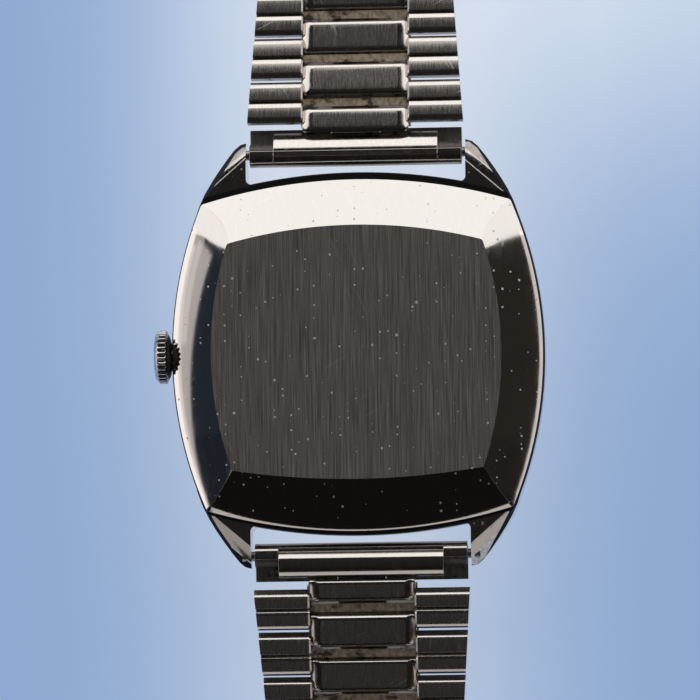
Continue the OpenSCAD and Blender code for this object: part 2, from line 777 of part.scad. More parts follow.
module barrel_bridge() {
    color("gainsboro") difference() {
        bridge_half(0.75);
        bore(barrel_pos, barrel_arbor_r + fit);
        bore(winding_pos, skirt_r + 0.1);
        for (p = barrel_screws) bore(p, thread_r + fit);
        bore(click_pos, click_post_r);
        translate([-plate_d, -plate_d, 0]) cube([plate_d - 9.4, plate_d + 1.9, 20]);
    }
    color("gainsboro") translate([click_pos[0], click_pos[1], bridge_z])
        cylinder(r = click_post_r, h = bridge_t + winding_t);
}

module train_bridge() {
    balance_clear = balance_r + 0.35;
    color("gainsboro") difference() {
        mirror([0, 1, 0]) bridge_half(-0.6);
        bore([0, 0], 0.3 + fit);
        bore(balance_pos, balance_clear);
        translate([-plate_d - 1.6, -plate_d, 0]) cube([plate_d, 2 * plate_d, 20]);
        for (p = bridge_jewels) translate([p[0], p[1], bridge_z]) cylinder(r = jewel_r, h = jewel_t);
        for (p = bridge_jewels) bore(p, pivot_r + fit);
        for (p = train_screws) bore(p, thread_r + fit);
    }
}

// An arm between two round ends
module arm2d(p, rp, q, rq) {
    along = q - p;
    translate(p) circle(rp);
    translate(q) circle(rq);
    translate(p) rotate(atan2(along[1], along[0])) translate([0, -rq]) square([norm(along), 2 * rq]);
}

module pallet_cock() {
    foot = pallet_pos + 3.4 * [cos(-108), sin(-108)];
    color("gainsboro") difference() {
        union() {
            translate([0, 0, fourth_z - 0.1]) linear_extrude(0.3) arm2d(pallet_pos, 0.7, foot, 0.6);
            translate([foot[0], foot[1], train_z]) cylinder(r = 0.6, h = fourth_z - train_z);
        }
        bore(pallet_pos, pivot_r + fit);
    }
}

module balance_cock() {
    color("gainsboro") difference() {
        union() {
            translate([0, 0, cock_z]) linear_extrude(cock_t) arm2d(balance_pos, 1.1, cock_foot, cock_foot_r);
            translate([cock_foot[0], cock_foot[1], train_z]) cylinder(r = cock_foot_r, h = cock_z - train_z);
        }
        translate([balance_pos[0], balance_pos[1], cock_z]) cylinder(r = jewel_r, h = jewel_t);
        bore(balance_pos, pivot_r + fit);
        bore(cock_foot, thread_r + fit);
    }
}

// A slotted screw with its head's lower face at z
module screw(p, z, shank) {
    translate([p[0], p[1], z]) difference() {
        union() {
            cylinder(r = screw_r, h = 0.22);
            translate([0, 0, -shank]) cylinder(r = thread_r, h = shank);
        }
        translate([-1, -0.07, 0.12]) cube([2, 0.14, 1]);
    }
}

module movement_screws() {
    shank = bridge_t + train_room + 0.9;
    color("steelblue") {
        for (p = concat(barrel_screws, train_screws)) screw(p, winding_z, shank);
        screw(winding_pos, post_top, 0.55);
    }
}

module jewels() {
    color("crimson") {
        for (p = [third_pos, escape_pos, pallet_pos, balance_pos, fourth_pos]) jewel(p, train_z - jewel_t);
        for (p = bridge_jewels) jewel(p, bridge_z);
        jewel(balance_pos, cock_z);
    }
}
module jewel(p, z) {
    translate([p[0], p[1], z]) difference() {
        cylinder(r = jewel_r, h = jewel_t);
        translate([0, 0, -1]) cylinder(r = pivot_r + fit, h = 3);
    }
}

module movement_ring() {
    color("silver") difference() {
        slab(case_wall + ring_gap, plate_z, lip_z);
        translate([0, 0, plate_z - 1]) cylinder(d = plate_d + 2 * ring_gap, h = 5);
        translate([-case_w, 0, stem_z]) rotate([0, 90, 0]) cylinder(r = stem_r + 0.2, h = case_w);
        translate([-case_w, -stem_r - 0.2, stem_z]) cube([case_w, 2 * stem_r + 0.4, 5]);
    }
}

module cannon_pinion() {
    color("gray") difference() {
        union() {
            translate([0, 0, plate_z + 0.3]) rotate([0, 0, motion_angle + 180 / cannon_n])
                linear_extrude(0.4) gear2d(cannon_n, motion_dist * cannon_n / (cannon_n + minute_n), 0.1);
            translate([0, 0, minute_hand_z + minute_hand_t])
                cylinder(r = cannon_r, h = plate_z + 0.3 - minute_hand_z - minute_hand_t);
        }
        bore([0, 0], arbor_r);
    }
}

module minute_wheel() {
    r = motion_dist * minute_n / (cannon_n + minute_n);
    rp = motion_dist * minute_pinion_n / (minute_pinion_n + hour_n);
    color("khaki") translate([minute_pos[0], minute_pos[1], plate_z + 0.35]) difference() {
        union() {
            rotate([0, 0, motion_angle + 180]) linear_extrude(wheel_t) gear2d(minute_n, r, 0.1);
            translate([0, 0, -0.25]) rotate([0, 0, motion_angle + 180])
                linear_extrude(0.25) gear2d(minute_pinion_n, rp, 0.095);
        }
        translate([0, 0, -1]) cylinder(r = minute_post_r + fit, h = 3);
    }
}

module hour_wheel() {
    r = motion_dist * hour_n / (minute_pinion_n + hour_n);
    color("khaki") difference() {
        union() {
            translate([0, 0, plate_z + 0.08]) rotate([0, 0, motion_angle + 180 / hour_n])
                linear_extrude(wheel_t) gear2d(hour_n, r, 0.095);
            translate([0, 0, hour_hand_z + hour_hand_t])
                cylinder(r = hour_tube_r, h = plate_z + 0.08 - hour_hand_z - hour_hand_t);
        }
        translate([0, 0, 1]) cylinder(r = cannon_r + fit, h = 5);
    }
}

// Bracelet pieces stand on a hinge at the origin, run along +Y and are placed by half()
module half(end, k) {
    h = hinge(k);
    rotate([0, 0, end == 12 ? 0 : 180]) translate([0, h[0], h[1]]) rotate([slope(k), 0, 0]) children();
}

// A bar across the bracelet from a [u, v] profile
module across(w, profile) {
    rotate([90, 0, 90]) translate([0, 0, -w / 2]) linear_extrude(w) polygon(profile);
}

module pin(r, w) {
    translate([-w / 2, 0, 0]) rotate([0, 90, 0]) cylinder(r = r, h = w);
}

module spring_bars() {
    color("gray") for (end = [0, 1]) mirror([0, end, 0]) translate([0, bar_y, bar_z]) {
        pin(bar_r, lug_gap - 1.2);
        pin(bar_pin_r, lug_gap + 2 * (bar_hole - 0.15));
    }
}

// The pair of outer knuckles that hold a hinge pin, joined to a web at u0
module outer_knuckles(u0) {
    for (side = [-1, 1]) translate([side * (knuckle_in + knuckle_gap + plate_w / 2) / 2, 0, 0]) {
        w = plate_w / 2 - knuckle_in - knuckle_gap;
        difference() {
            union() {
                pin(knuckle_r, w);
                across(w, [[u0, axis_v - knuckle_r], [0, -knuckle_r], [0, 0.15], [u0, 0.15]]);
            }
            pin(pin_r + eps, w + 1);
        }
    }
}

// The middle knuckle that turns on the pin
module inner_knuckle(u1) {
    w = 2 * knuckle_in;
    difference() {
        union() {
            pin(knuckle_r, w);
            across(w, [[0, -knuckle_r], [u1, -knuckle_r], [u1, 0.15], [0, 0.15]]);
        }
        pin(pin_r + pin_fit, w + 1);
    }
}

// Profile of a side ridge from u0 to u1; v is counted from the hinge axis
function ridge_profile(u0, u1) = let (top = half_t - axis_v, low = -half_t - axis_v) [
    [u0, low + bevel], [u0 + 0.15, low], [u1 - 0.15, low], [u1, low + bevel],
    [u1, top - bevel], [u1 - bevel, top], [u0 + bevel, top], [u0, top - bevel]];

plate_low = 0.62;
plate_top = 0.98;
plate_edge = 0.18;
first_inner = 0.35;
bar_half = 0.35;
bar_top = 0.55;
link_side_gap = 0.1;

// One bracelet period: side ridges, cross bar and web, and the centre plate over the hinge
module period(k, plate_in, plate_out) {
    w = link_w(k);
    wing = (w - plate_w) / 2 - link_side_gap;
    mid = pitch / 2;
    low = -half_t - axis_v;
    color("silver") {
        for (side = [-1, 1]) translate([side * (w - wing) / 2, 0, 0]) {
            across(wing, ridge_profile(link_gap / 2, mid - groove / 2));
            across(wing, ridge_profile(mid + groove / 2, pitch - link_gap / 2));
            across(wing - 0.1, [[mid - 0.4, low + 0.4], [mid + 0.4, low + 0.4],
                [mid + 0.4, 0.4], [mid - 0.4, 0.4]]);
        }
        across(plate_w + 3 * link_side_gap, [[mid - bar_half, low], [mid + bar_half, low],
            [mid + bar_half, bar_top], [mid - bar_half, bar_top]]);
        inner_knuckle(mid - bar_half - 0.02);
        translate([0, pitch, 0]) outer_knuckles(mid - pitch);
        translate([0, pitch, 0]) pin(pin_r, plate_w - 0.2);
        across(2 * knuckle_in, [[0.5, 0.1], [1, 0.1], [1, plate_low + 0.05], [0.5, plate_low + 0.05]]);
        centre_plate(plate_in, plate_out);
    }
}

// The bevelled centre plate, from u = -plate_in to plate_out
module centre_plate(plate_in, plate_out) {
    across(plate_w, [[-plate_in, plate_low], [plate_out, plate_low],
        [plate_out, plate_top - plate_edge], [plate_out - plate_edge, plate_top],
        [plate_edge - plate_in, plate_top], [-plate_in, plate_top - plate_edge]]);
}

// A bracelet node: one period, or two that are joined
module link_node(end, i) {
    singles = end == 12 ? single_12 : single_6;
    k = first_period(i, singles);
    inner = k == 1 ? first_inner : plate_len / 2;
    half(end, k) {
        period(k, inner, plate_len / 2);
        if (i > singles) translate([0, pitch, 0]) period(k + 1, plate_len / 2, plate_len / 2);
    }
}

// Rolled tube round the spring bar, folded flap above it and a plate below
end_play = 0.3;
flap_w = 13.6;
module end_piece(end) {
    w = lug_gap - 2 * end_play;
    top = half_t + 0.05;
    color("silver") half(end, 0) {
        difference() {
            union() {
                pin(bar_tube_r, w);
                across(flap_w, [[0, -0.2], [end_len - 0.7, -0.2], [end_len - 0.7, top - 0.25],
                    [end_len - 0.95, top], [0.2, top], [0, bar_tube_r]]);
                across(w, [[0, -bar_tube_r], [end_len - link_gap / 2, -bar_tube_r + 0.25],
                    [end_len - link_gap / 2, -0.25], [0, -0.25]]);
            }
            pin(bar_r + pin_fit, w + 1);
            translate([-knuckle_in - knuckle_gap, end_len - 0.62, -3])
                cube([2 * (knuckle_in + knuckle_gap), 3, 6]);
        }
        translate([0, end_len, 0]) outer_knuckles(-0.6);
        translate([0, end_len, 0]) pin(pin_r, plate_w - 0.2);
    }
}

// The bar that the clasp hooks over, on two arms
catch_web = [0.65, 1.5];
catch_arm_w = 1.6;
catch_len = 5.2;
catch_bar_r = 0.5;
module clasp_catch() {
    k = periods_12 + 1;
    w = link_w(k);
    low = -half_t - axis_v;
    shoulder = (w - plate_w - 0.2) / 2;
    color("silver") half(12, k) {
        inner_knuckle(catch_web[1] - 0.1);
        across(w, [[catch_web[0], low], [catch_web[1], low], [catch_web[1], 0.55], [catch_web[0], 0.4]]);
        for (side = [-1, 1]) translate([side * (w - shoulder) / 2, 0, 0])
            across(shoulder, [[link_gap / 2, low + bevel], [catch_web[0] + 0.05, low],
                [catch_web[0] + 0.05, 0.4], [link_gap / 2, 0.2]]);
        for (side = [-1, 1]) translate([side * (w - catch_arm_w) / 2, 0, 0])
            across(catch_arm_w, [[catch_web[1] - 0.1, low], [catch_len, low], [catch_len, 0.6],
                [catch_web[1] - 0.1, 0.6]]);
        translate([0, catch_len - catch_bar_r - 0.1, (low + 0.6) / 2]) pin(catch_bar_r, w);
    }
}

clasp_w = band_end_w + 0.9;
cover_u = 0.5;
far_u = cover_len - 1.2;
near_u = 6.5;
long_v = 0.2;
short_v = 1.05;
blade_low = 0.2;
blade_high = 0.25;
far_pin_r = 0.35;
near_pin_r = 0.28;
near_knuckle_w = 1.5;
module clasp_cover() {
    low = -half_t - axis_v;
    color("silver") half(6, periods_6 + 1) {
        inner_knuckle(1.2);
        across(2 * knuckle_in, [[0.6, low], [1.4, low], [1.4, 0.15], [0.6, 0.15]]);
        across(clasp_w, [[cover_u, low], [cover_len, low], [cover_len, low + sheet],
            [cover_u, low + sheet]]);
        for (side = [-1, 1]) translate([side * (clasp_w - sheet) / 2, 0, 0])
            across(sheet, [[cover_u, low], [cover_len, low], [cover_len, low + band_t - 0.2],
                [cover_len - 0.8, low + band_t], [cover_u + 0.8, low + band_t], [cover_u, 0.5]]);
        translate([0, far_u, long_v]) pin(far_pin_r, clasp_w - sheet);
    }
}

module clasp_long_blade() {
    w = clasp_w - 2 * sheet - 0.6;
    color("silver") half(6, periods_6 + 1) {
        translate([0, far_u, long_v]) difference() {
            pin(far_pin_r + 0.25, w);
            pin(far_pin_r + pin_fit, w + 1);
        }
        difference() {
            across(w, [[near_u, long_v - blade_low], [far_u - 0.45, long_v - blade_low],
                [far_u - 0.45, long_v + blade_high], [near_u, long_v + blade_high]]);
            translate([-w / 4, near_u + 5, -3]) cube([w / 2, far_u - near_u - 10, 6]);
        }
        for (side = [-1, 1]) translate([side * (w - near_knuckle_w) / 2, near_u, short_v]) difference() {
            union() {
                pin(knuckle_r, near_knuckle_w);
                across(near_knuckle_w, [[-knuckle_r, long_v - short_v], [knuckle_r, long_v - short_v],
                    [knuckle_r, 0], [-knuckle_r, 0]]);
            }
            pin(near_pin_r, near_knuckle_w + 0.5);
        }
        translate([0, near_u, short_v]) pin(near_pin_r, w);
    }
}

hook_rise = 1.5;
module clasp_short_blade() {
    w = clasp_w - 2 * sheet - 2 * near_knuckle_w - 1;
    end_u = far_u - 5;
    color("silver") half(6, periods_6 + 1) translate([0, 0, short_v]) {
        translate([0, near_u, 0]) difference() {
            pin(knuckle_r, w);
            pin(near_pin_r + pin_fit, w + 1);
        }
        across(w, [[near_u + 0.4, -blade_low], [end_u, -blade_low], [end_u, blade_high],
            [near_u + 0.4, blade_high]]);
        across(w * 0.6, [[end_u - sheet, 0.2], [end_u, 0.2], [end_u, hook_rise],
            [end_u - hook_rise, hook_rise], [end_u - hook_rise, hook_rise - sheet],
            [end_u - sheet, hook_rise - sheet]]);
    }
}

case_middle();
case_back();
back_gasket();
crystal();
dial_ring();
dial();
hour_markers();
hour_hand();
minute_hand();
seconds_hand();
crown();
crown_tube();
winding_stem();
movement_ring();
main_plate();
barrel_bridge();
train_bridge();
pallet_cock();
balance_cock();
mainspring_barrel();
mainspring();
center_wheel();
third_wheel();
fourth_wheel();
escape_wheel();
pallet_fork();
balance_wheel();
hairspring();
ratchet_wheel();
crown_wheel();
winding_pinion();
click();
cannon_pinion();
minute_wheel();
hour_wheel();
movement_screws();
jewels();
spring_bars();
end_piece(12);  // end_piece_12
end_piece(6);  // end_piece_6
clasp_catch();
clasp_cover();
clasp_long_blade();
clasp_short_blade();
for (i = [1 : len(LINKS_12)]) link_node(12, i);
for (i = [1 : len(LINKS_6)]) link_node(6, i);
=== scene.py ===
import math

import bmesh
import bpy
from mathutils import Matrix, Quaternion, Vector


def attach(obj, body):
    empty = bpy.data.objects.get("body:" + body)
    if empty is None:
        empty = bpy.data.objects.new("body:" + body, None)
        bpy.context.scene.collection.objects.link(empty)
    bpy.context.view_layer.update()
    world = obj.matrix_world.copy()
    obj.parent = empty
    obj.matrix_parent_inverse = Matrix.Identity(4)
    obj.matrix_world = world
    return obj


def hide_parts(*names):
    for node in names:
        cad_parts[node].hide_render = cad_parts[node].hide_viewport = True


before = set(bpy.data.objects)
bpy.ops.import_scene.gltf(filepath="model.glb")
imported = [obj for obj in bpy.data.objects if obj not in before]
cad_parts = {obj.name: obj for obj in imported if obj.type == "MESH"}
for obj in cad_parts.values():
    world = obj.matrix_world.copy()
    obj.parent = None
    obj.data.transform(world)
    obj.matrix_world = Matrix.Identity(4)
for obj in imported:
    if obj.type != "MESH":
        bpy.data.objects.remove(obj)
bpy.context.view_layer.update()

# Millimetres in the sizes below, metres in the scene
MM = 0.001

# Plan outline of the case: two side arcs and two end arcs
SIDE_R = 32.3
SIDE_REACH = 15.3
END_R = 44.5
END_REACH = 14.9

# Case back: lip, dished bevels and the brushed flat
BACK_LOW = 5.6
LIP_TOP = 5.9
BACK_TOP = 8.4
LIP_SIDE_INSET = 0.16
LIP_END_INSET = 0.65
LIP_SIX_INSET = 0.38
BEVEL_SIDE_W = 3.29
BEVEL_END_W = 3.9
BEVEL_SIX_W = 4.17
FLAT_SIX_R = 64.0
BEVEL_STEPS = 10
SIDE_BOW = 0.15
END_BOW = 0.28
SIX_BOW = 0.12
CORNER_R = 0.35
SIX_CORNER_R = 0.02
MITRE_R = 1.5
MITRE_POWER = 0.8
EDGE_W = 0.24
EDGE_H = 0.215
# Inside of the back, as side inset, end inset and height: the ceiling, then the foot of the wall
BACK_INSIDE = [(3.9, 4.9, 7.6), (1.35, 1.35, BACK_LOW)]

# Steps along an arc of the outline and round one of its corners, and the turns of small corners
ARC_STEPS = 28
CORNER_STEPS = 8
QUARTER = [math.radians(15 * i) for i in range(7)]

# Case middle, as (inset, height): its outside, then its seat, bore and crystal opening
CASE_PROFILE = [(1.1, 0.55), (0.9, 0.63), (0.15, 2.1), (0.006, 2.7), (0.006, 5.0), (0.08, 5.48),
                (0.16, BACK_LOW)]
CASE_INSIDE = [(0.95, BACK_LOW), (0.95, 5.2), (1.35, 5.2), (1.35, 1.8), (3.4, 1.8), (3.4, 1.3),
               (2.5, 1.3), (2.5, 0.55)]

# Lugs: the block that is cut, its plan outline, the folds and the cuts underneath
LUG_IN = 9.0
LUG_TOP = 5.56
LUG_LOW = 0.55
LUG_ROOT = 11.0
LUG_REACH = (14, 18)
LUG_OUTLINE = [(13.15, 11.6), (12.87, 12.4), (12.45, 13.3), (11.87, 14.3), (11.25, 15.25),
               (10.58, 16.2), (9.98, 16.95), (9.52, 17.34), (8.97, 17.50)]
# Width of the chamfers between lug facets, which carry a painted glint
PAINTED_GLINT_W = 0.09
FOLD_START = (9.07, 15.66)
FOLD_ACROSS = (0.652, 0.757)
BAND_SLOPE = 64
LUG_UNDER = [((12.4, 0.55), (3.2, -4.6)), ((16.99, 3.76), (0.8, -0.55))]

# Rounded corner between a lug and the case
FILLET_DEEP = 0.1
FILLET_Y = (13.6, 14.42)
FILLET_W = 0.4
FILLET_L = 0.42
FILLET_Z = (0.9, LUG_TOP - 0.02)

# Bracelet hinge lines: distance from the case centre, height and slope in degrees
HINGES = [
    (16.45, 4.6, -8.0),
    (18.7276, 4.2799, -15.0),
    (22.4464, 3.28345, -17.0),
    (26.1282, 2.15782, -13.0),
    (29.8795, 1.29176, -5.84),
    (33.7095, 0.9, 0.0),
]
PITCH = 3.85
FIRST_W = 17.75
TAPER = 0.56
LAST_W = 12.6

# Centre plates: reach from the hinge line, heights, bowed ends, and the falling edge as insets and drop
PLATE_W = 8.4
PLATE_REACH = 1.375
FIRST_REACH = {1: -0.74, -1: -0.48}
PLATE_LOW, PLATE_TOP = 0.60, 0.98
PLATE_SINK = 0.04
PLATE_CORNER = 0.2
PLATE_BULGE = 0.2
BULGE_FROM, BULGE_REACH = 0.85, 0.15
PLATE_EDGE = [(0.0, 0.0, 0.35), (0.03, 0.04, 0.30), (0.08, 0.22, 0.19), (0.20, 0.44, 0.07),
              (0.40, 0.70, 0.0)]

# Ridges of the wings: places along a period, heights, undercut and rounded ends
RIDGE_SPANS = {1: (0.13, 1.89), 2: (1.95, 3.72)}
FIRST_NEAR = 0.40
RIDGE_TOP = 1.1
RIDGE_LOW = -0.9
FLANK_TOP = 0.3
UNDERCUT = 0.5
END_ROUND = 0.15
END_DROP = 0.135

# Hinges: knuckle and pin radius, outer knuckles' and pin's reach across
KNUCKLE_R = 0.5
PIN_R = 0.25
KNUCKLE_X = (2.0, 4.2)
PIN_X = 4.1
PIN_SIDES = 16
TONGUE_X = 1.95

# Gap from plate to wing, and reach of a wing's cheek from the wing's inner end
WING_GAP = 0.1
CHEEK_X = (-0.08, 0.2)
# Blocks of a period as place along it and height: the wings' cheek and strut
CHEEK = (0.2, 3.65, -0.85, 0.3)
STRUT = (1.525, 2.325, -0.5, 0.4)
# The same with the reach across first: cross bar, tongue, post and tail
CROSS_BAR = (-4.35, 4.35, 1.575, 2.275, -0.9, 0.55)
TONGUE = (-TONGUE_X, TONGUE_X, 0.2, 1.575, -0.5, 0.15)
POST = (-TONGUE_X, TONGUE_X, 0.5, 1.0, 0.1, 0.62)
TAIL = (-4.2, 4.2, 2.275, 3.2, -0.5, 0.15)

# End pieces: reach of the hood and of the curl, where the curl stops, and the plate underneath
HOOD_X = 6.75
CURL_X = 8.7
CURL_R = 1.04
CURL_START = -180
CURL_STOP = {1: 8, -1: -44}
TUBE_R = 0.9
HINGE_U = 2.3
UNDER_X = 2.05
UNDER_SIDE = [(0, -1.05), (2.15, -0.8), (2.15, -0.25), (1.2, -0.3), (0, -0.5)]
UNDER_MIDDLE = [(0, -1.05), (1.62, -0.86), (1.62, -0.3), (0, -0.5)]

# Crown: its middle, its flutes and its stations as reach from the case, radius and flute depth
CROWN_X = -15.4
CROWN_Z = 4.45
FLUTES = 30
FLUTE_STEPS = 8
FLUTE_POWER = 1.6
CROWN_STATIONS = [
    (-0.08, 0.6, 0), (-0.08, 1.05, 0), (0.0, 1.30, 0), (0.05, 1.55, 0.03), (0.20, 1.86, 0.04),
    (0.30, 2.08, 0.06), (0.36, 2.19, 0.18), (0.90, 2.19, 0.18), (0.95, 2.15, 0.06), (0.99, 2.12, 0),
    (1.12, 2.00, 0), (1.25, 1.865, 0), (1.31, 1.60, 0), (1.34, 1.1, 0), (1.35, 0.5, 0),
]

# Metal colours
STEEL = (0.60, 0.572, 0.548)
SPECK = (0.60, 0.58, 0.55)


# Node helpers

def node(tree, kind, inputs=None, **settings):
    """Adds one shader node. Inputs that are sockets are linked, plain values are set."""
    made = tree.nodes.new(kind)
    for key, value in settings.items():
        setattr(made, key, value)
    for key, value in (inputs or {}).items():
        if isinstance(value, bpy.types.NodeSocket):
            tree.links.new(value, made.inputs[key])
        else:
            made.inputs[key].default_value = value
    return made


def ramp(tree, factor, stops):
    """A colour ramp from a list of (position, grey or colour)."""
    made = node(tree, "ShaderNodeValToRGB", {"Fac": factor})
    band = made.color_ramp
    while len(band.elements) < len(stops):
        band.elements.new(0.5)
    for element, (place, tone) in zip(band.elements, stops):
        element.position = place
        element.color = (tone, tone, tone, 1) if isinstance(tone, float) else (*tone, 1)
    return made.outputs["Color"]


def mix(tree, factor, low, high):
    """Mixes two colours by a factor."""
    made = node(tree, "ShaderNodeMix", data_type="RGBA")
    for slot, value in ((0, factor), (6, low), (7, high)):
        if isinstance(value, bpy.types.NodeSocket):
            tree.links.new(value, made.inputs[slot])
        else:
            made.inputs[slot].default_value = (*value, 1) if isinstance(value, tuple) else value
    return made.outputs[2]


def maths(tree, operation, first, second=0.0):
    """One Math node."""
    return node(tree, "ShaderNodeMath", {0: first, 1: second}, operation=operation).outputs[0]


def stretched(tree, place, scale, turn=0.0, detail=3.0, rough=0.6, seed=0.0):
    """Noise with its own scale along each axis, in cells per metre, turned about Z."""
    turned = node(tree, "ShaderNodeMapping", {"Vector": place, "Rotation": (0, 0, math.radians(turn))})
    sized = node(
        tree, "ShaderNodeMapping",
        {"Vector": turned.outputs[0], "Scale": scale, "Location": (seed, seed * 0.7, seed * 0.3)},
    )
    return node(
        tree, "ShaderNodeTexNoise",
        {"Vector": sized.outputs[0], "Scale": 1.0, "Detail": detail, "Roughness": rough},
    ).outputs[0]


def new_material(name):
    """An empty node material and its tree, object coordinates and shader."""
    made = bpy.data.materials.new(name)
    made.use_nodes = True
    tree = made.node_tree
    tree.nodes.clear()
    shader = node(tree, "ShaderNodeBsdfPrincipled")
    out = node(tree, "ShaderNodeOutputMaterial")
    tree.links.new(shader.outputs[0], out.inputs[0])
    place = node(tree, "ShaderNodeTexCoord").outputs["Object"]
    return made, tree, shader, place


def link_surface(tree, shader, roughness, height, strength, depth, tone=None):
    """Links roughness, a bump with its depth in millimetres and, if given, colour."""
    bump = node(tree, "ShaderNodeBump", {"Height": height, "Strength": strength, "Distance": depth * MM})
    if tone:
        tree.links.new(tone, shader.inputs["Base Color"])
    tree.links.new(roughness, shader.inputs["Roughness"])
    tree.links.new(bump.outputs[0], shader.inputs["Normal"])


# Turn in degrees and noise shift of each set of scratches, and cells per metre of the marks on metal
SCRATCH_TURNS = ((-24, 11.0), (62, 23.0), (8, 37.0))
SCRATCH_GRAIN = (5200, 95, 900)
PATCH_GRAIN = (260, 260, 260)
WOBBLE_GRAIN = (7000, 7000, 7000)
STAIN_GRAIN = (700, 1100, 700)
# Cells per metre of the spots, and the chance that a cell stays bare
SPOT_SIZES = ((1500.0, 0.80), (600.0, 0.90))
# How much lighter scratches are, how much less metallic spots are, and the roughness of each mark
SCRATCH_GAIN = 1.45
SPOT_LOSS = 0.45
SCRATCH_ROUGH = (0.5, 0.5, 0.5)
SPOT_ROUGH = (0.75, 0.75, 0.75)
STAIN_ROUGH = (0.72, 0.72, 0.72)


def scratch(tree, place, turn, seed, strength):
    """Mask of one set of fine scratches, broken up into patches."""
    line = stretched(tree, place, SCRATCH_GRAIN, turn, 1.0, 0.4, seed)
    line = ramp(tree, line, [(0.70, 0.0), (0.725, 1.0)])
    patch = stretched(tree, place, PATCH_GRAIN, 0, 1.0, 0.5, seed + 1)
    patch = ramp(tree, patch, [(0.52, 0.0), (0.62, strength)])
    return maths(tree, "MULTIPLY", line, patch)


def spot(tree, place, scale, least, seed, strength):
    """Mask of small round marks of uneven size and outline."""
    cell = node(tree, "ShaderNodeTexVoronoi", {"Vector": place, "Scale": scale, "Randomness": 1.0},
                feature="F1", voronoi_dimensions="2D")
    chance = node(tree, "ShaderNodeSeparateColor", {0: cell.outputs["Color"]}).outputs[0]
    reach = maths(tree, "MULTIPLY", maths(tree, "SUBTRACT", chance, least), 0.72)
    wobble = stretched(tree, place, WOBBLE_GRAIN, 0, 2.0, 0.6, seed + 57)
    edge = maths(tree, "MULTIPLY", cell.outputs["Distance"], maths(tree, "ADD", wobble, 0.5))
    return maths(tree, "MULTIPLY", maths(tree, "LESS_THAN", edge, reach), strength)


def metal(name, colour, rough, grain, *, contrast, depth, seed, spots=0.0, scratches=0.0, stain=None,
          stain_share=0.0, metallic=1.0, broad_share=0.04, grain_detail=3.0):
    """Metal with grain in cells per metre along each axis, scratches, light spots and stains."""
    made, tree, shader, place = new_material(name)
    streak = stretched(tree, place, grain, detail=grain_detail, seed=seed)
    broad = stretched(tree, place, (grain[0] / 9, grain[1] / 4, grain[2] / 9), seed=seed + 3)
    both = mix(tree, broad_share, streak, broad)
    dark = tuple(c * (1 - contrast) for c in colour)
    light = tuple(min(1.0, c * (1 + contrast)) for c in colour)
    tone = ramp(tree, both, [(0.3, dark), (0.5, colour), (0.7, light)])
    roughness = ramp(tree, both, [(0.3, rough * 0.75), (0.7, min(1.0, rough * 1.3))])
    height = both
    shine = metallic
    if scratches:
        for turn, shift in SCRATCH_TURNS:
            line = scratch(tree, place, turn, seed + shift, scratches)
            tone = mix(tree, line, tone, tuple(min(1.0, c * SCRATCH_GAIN) for c in colour))
            roughness = mix(tree, line, roughness, SCRATCH_ROUGH)
            height = mix(tree, line, height, (0.0, 0.0, 0.0))
    if spots:
        for scale, least in SPOT_SIZES:
            mark = spot(tree, place, scale, least, seed, spots)
            tone = mix(tree, mark, tone, SPECK)
            roughness = mix(tree, mark, roughness, SPOT_ROUGH)
            shine = maths(tree, "SUBTRACT", shine, maths(tree, "MULTIPLY", mark, SPOT_LOSS))
    if stain:
        cloud = stretched(tree, place, STAIN_GRAIN, 0, 4.0, 0.65, seed + 71)
        cover = ramp(tree, cloud, [(0.62 - 0.3 * stain_share, 0.0), (0.72 - 0.3 * stain_share, 1.0)])
        tone = mix(tree, cover, tone, stain)
        roughness = mix(tree, cover, roughness, STAIN_ROUGH)
    if spots:
        tree.links.new(shine, shader.inputs["Metallic"])
    else:
        shader.inputs["Metallic"].default_value = metallic
    link_surface(tree, shader, roughness, height, 0.6, depth, tone)
    return made


def smooth_stuff(name, colour, rough, metallic=0.0, vary=0.06, cells=1500, depth=0.004, coat=0.0,
                 shine=0.5):
    """A painted, moulded or plated surface with a fine even grain."""
    made, tree, shader, place = new_material(name)
    shader.inputs["Metallic"].default_value = metallic
    shader.inputs["Coat Weight"].default_value = coat
    shader.inputs["Specular IOR Level"].default_value = shine
    fine = stretched(tree, place, (cells, cells, cells), 0, 4.0, 0.6)
    cloud = stretched(tree, place, (cells / 8, cells / 8, cells / 8), 0, 2.0, 0.5, 9.0)
    both = mix(tree, 0.5, fine, cloud)
    dark = tuple(c * (1 - vary) for c in colour)
    light = tuple(min(1.0, c * (1 + vary)) for c in colour)
    tone = ramp(tree, both, [(0.35, dark), (0.65, light)])
    roughness = ramp(tree, both, [(0.35, rough * 0.85), (0.65, min(1.0, rough * 1.2))])
    link_surface(tree, shader, roughness, fine, 0.5, depth, tone)
    return made


# Finishes

back_brushed = metal("back_brushed", (0.55, 0.50, 0.475), 0.33, (15000, 200, 4000), contrast=0.28,
                     depth=0.012, spots=0.8, scratches=0.3, metallic=0.90, broad_share=0.0,
                     grain_detail=2.0, seed=2.0)
back_polished = metal("back_polished", STEEL, 0.06, (3000, 500, 1500), contrast=0.015,
                      depth=0.0008, spots=0.6, scratches=0.12, seed=5.0)
case_polished = metal("case_polished", STEEL, 0.12, (2500, 700, 1500), contrast=0.06,
                      depth=0.002, spots=0.5, scratches=0.3, seed=8.0)
link_brushed = metal("link_brushed", (0.48, 0.442, 0.415), 0.245, (20000, 500, 3000), contrast=0.14,
                     depth=0.008, scratches=0.5, metallic=0.95, seed=12.0)
link_polished = metal("link_polished", (0.61, 0.567, 0.535), 0.15, (4000, 900, 2500), contrast=0.06,
                      depth=0.002, scratches=0.2, seed=15.0)
link_dirty = metal("link_dirty", (0.30, 0.235, 0.165), 0.45, (3500, 1800, 2500), contrast=0.5,
                   depth=0.02, stain=(0.045, 0.034, 0.024), stain_share=0.38, metallic=0.4, seed=18.0)
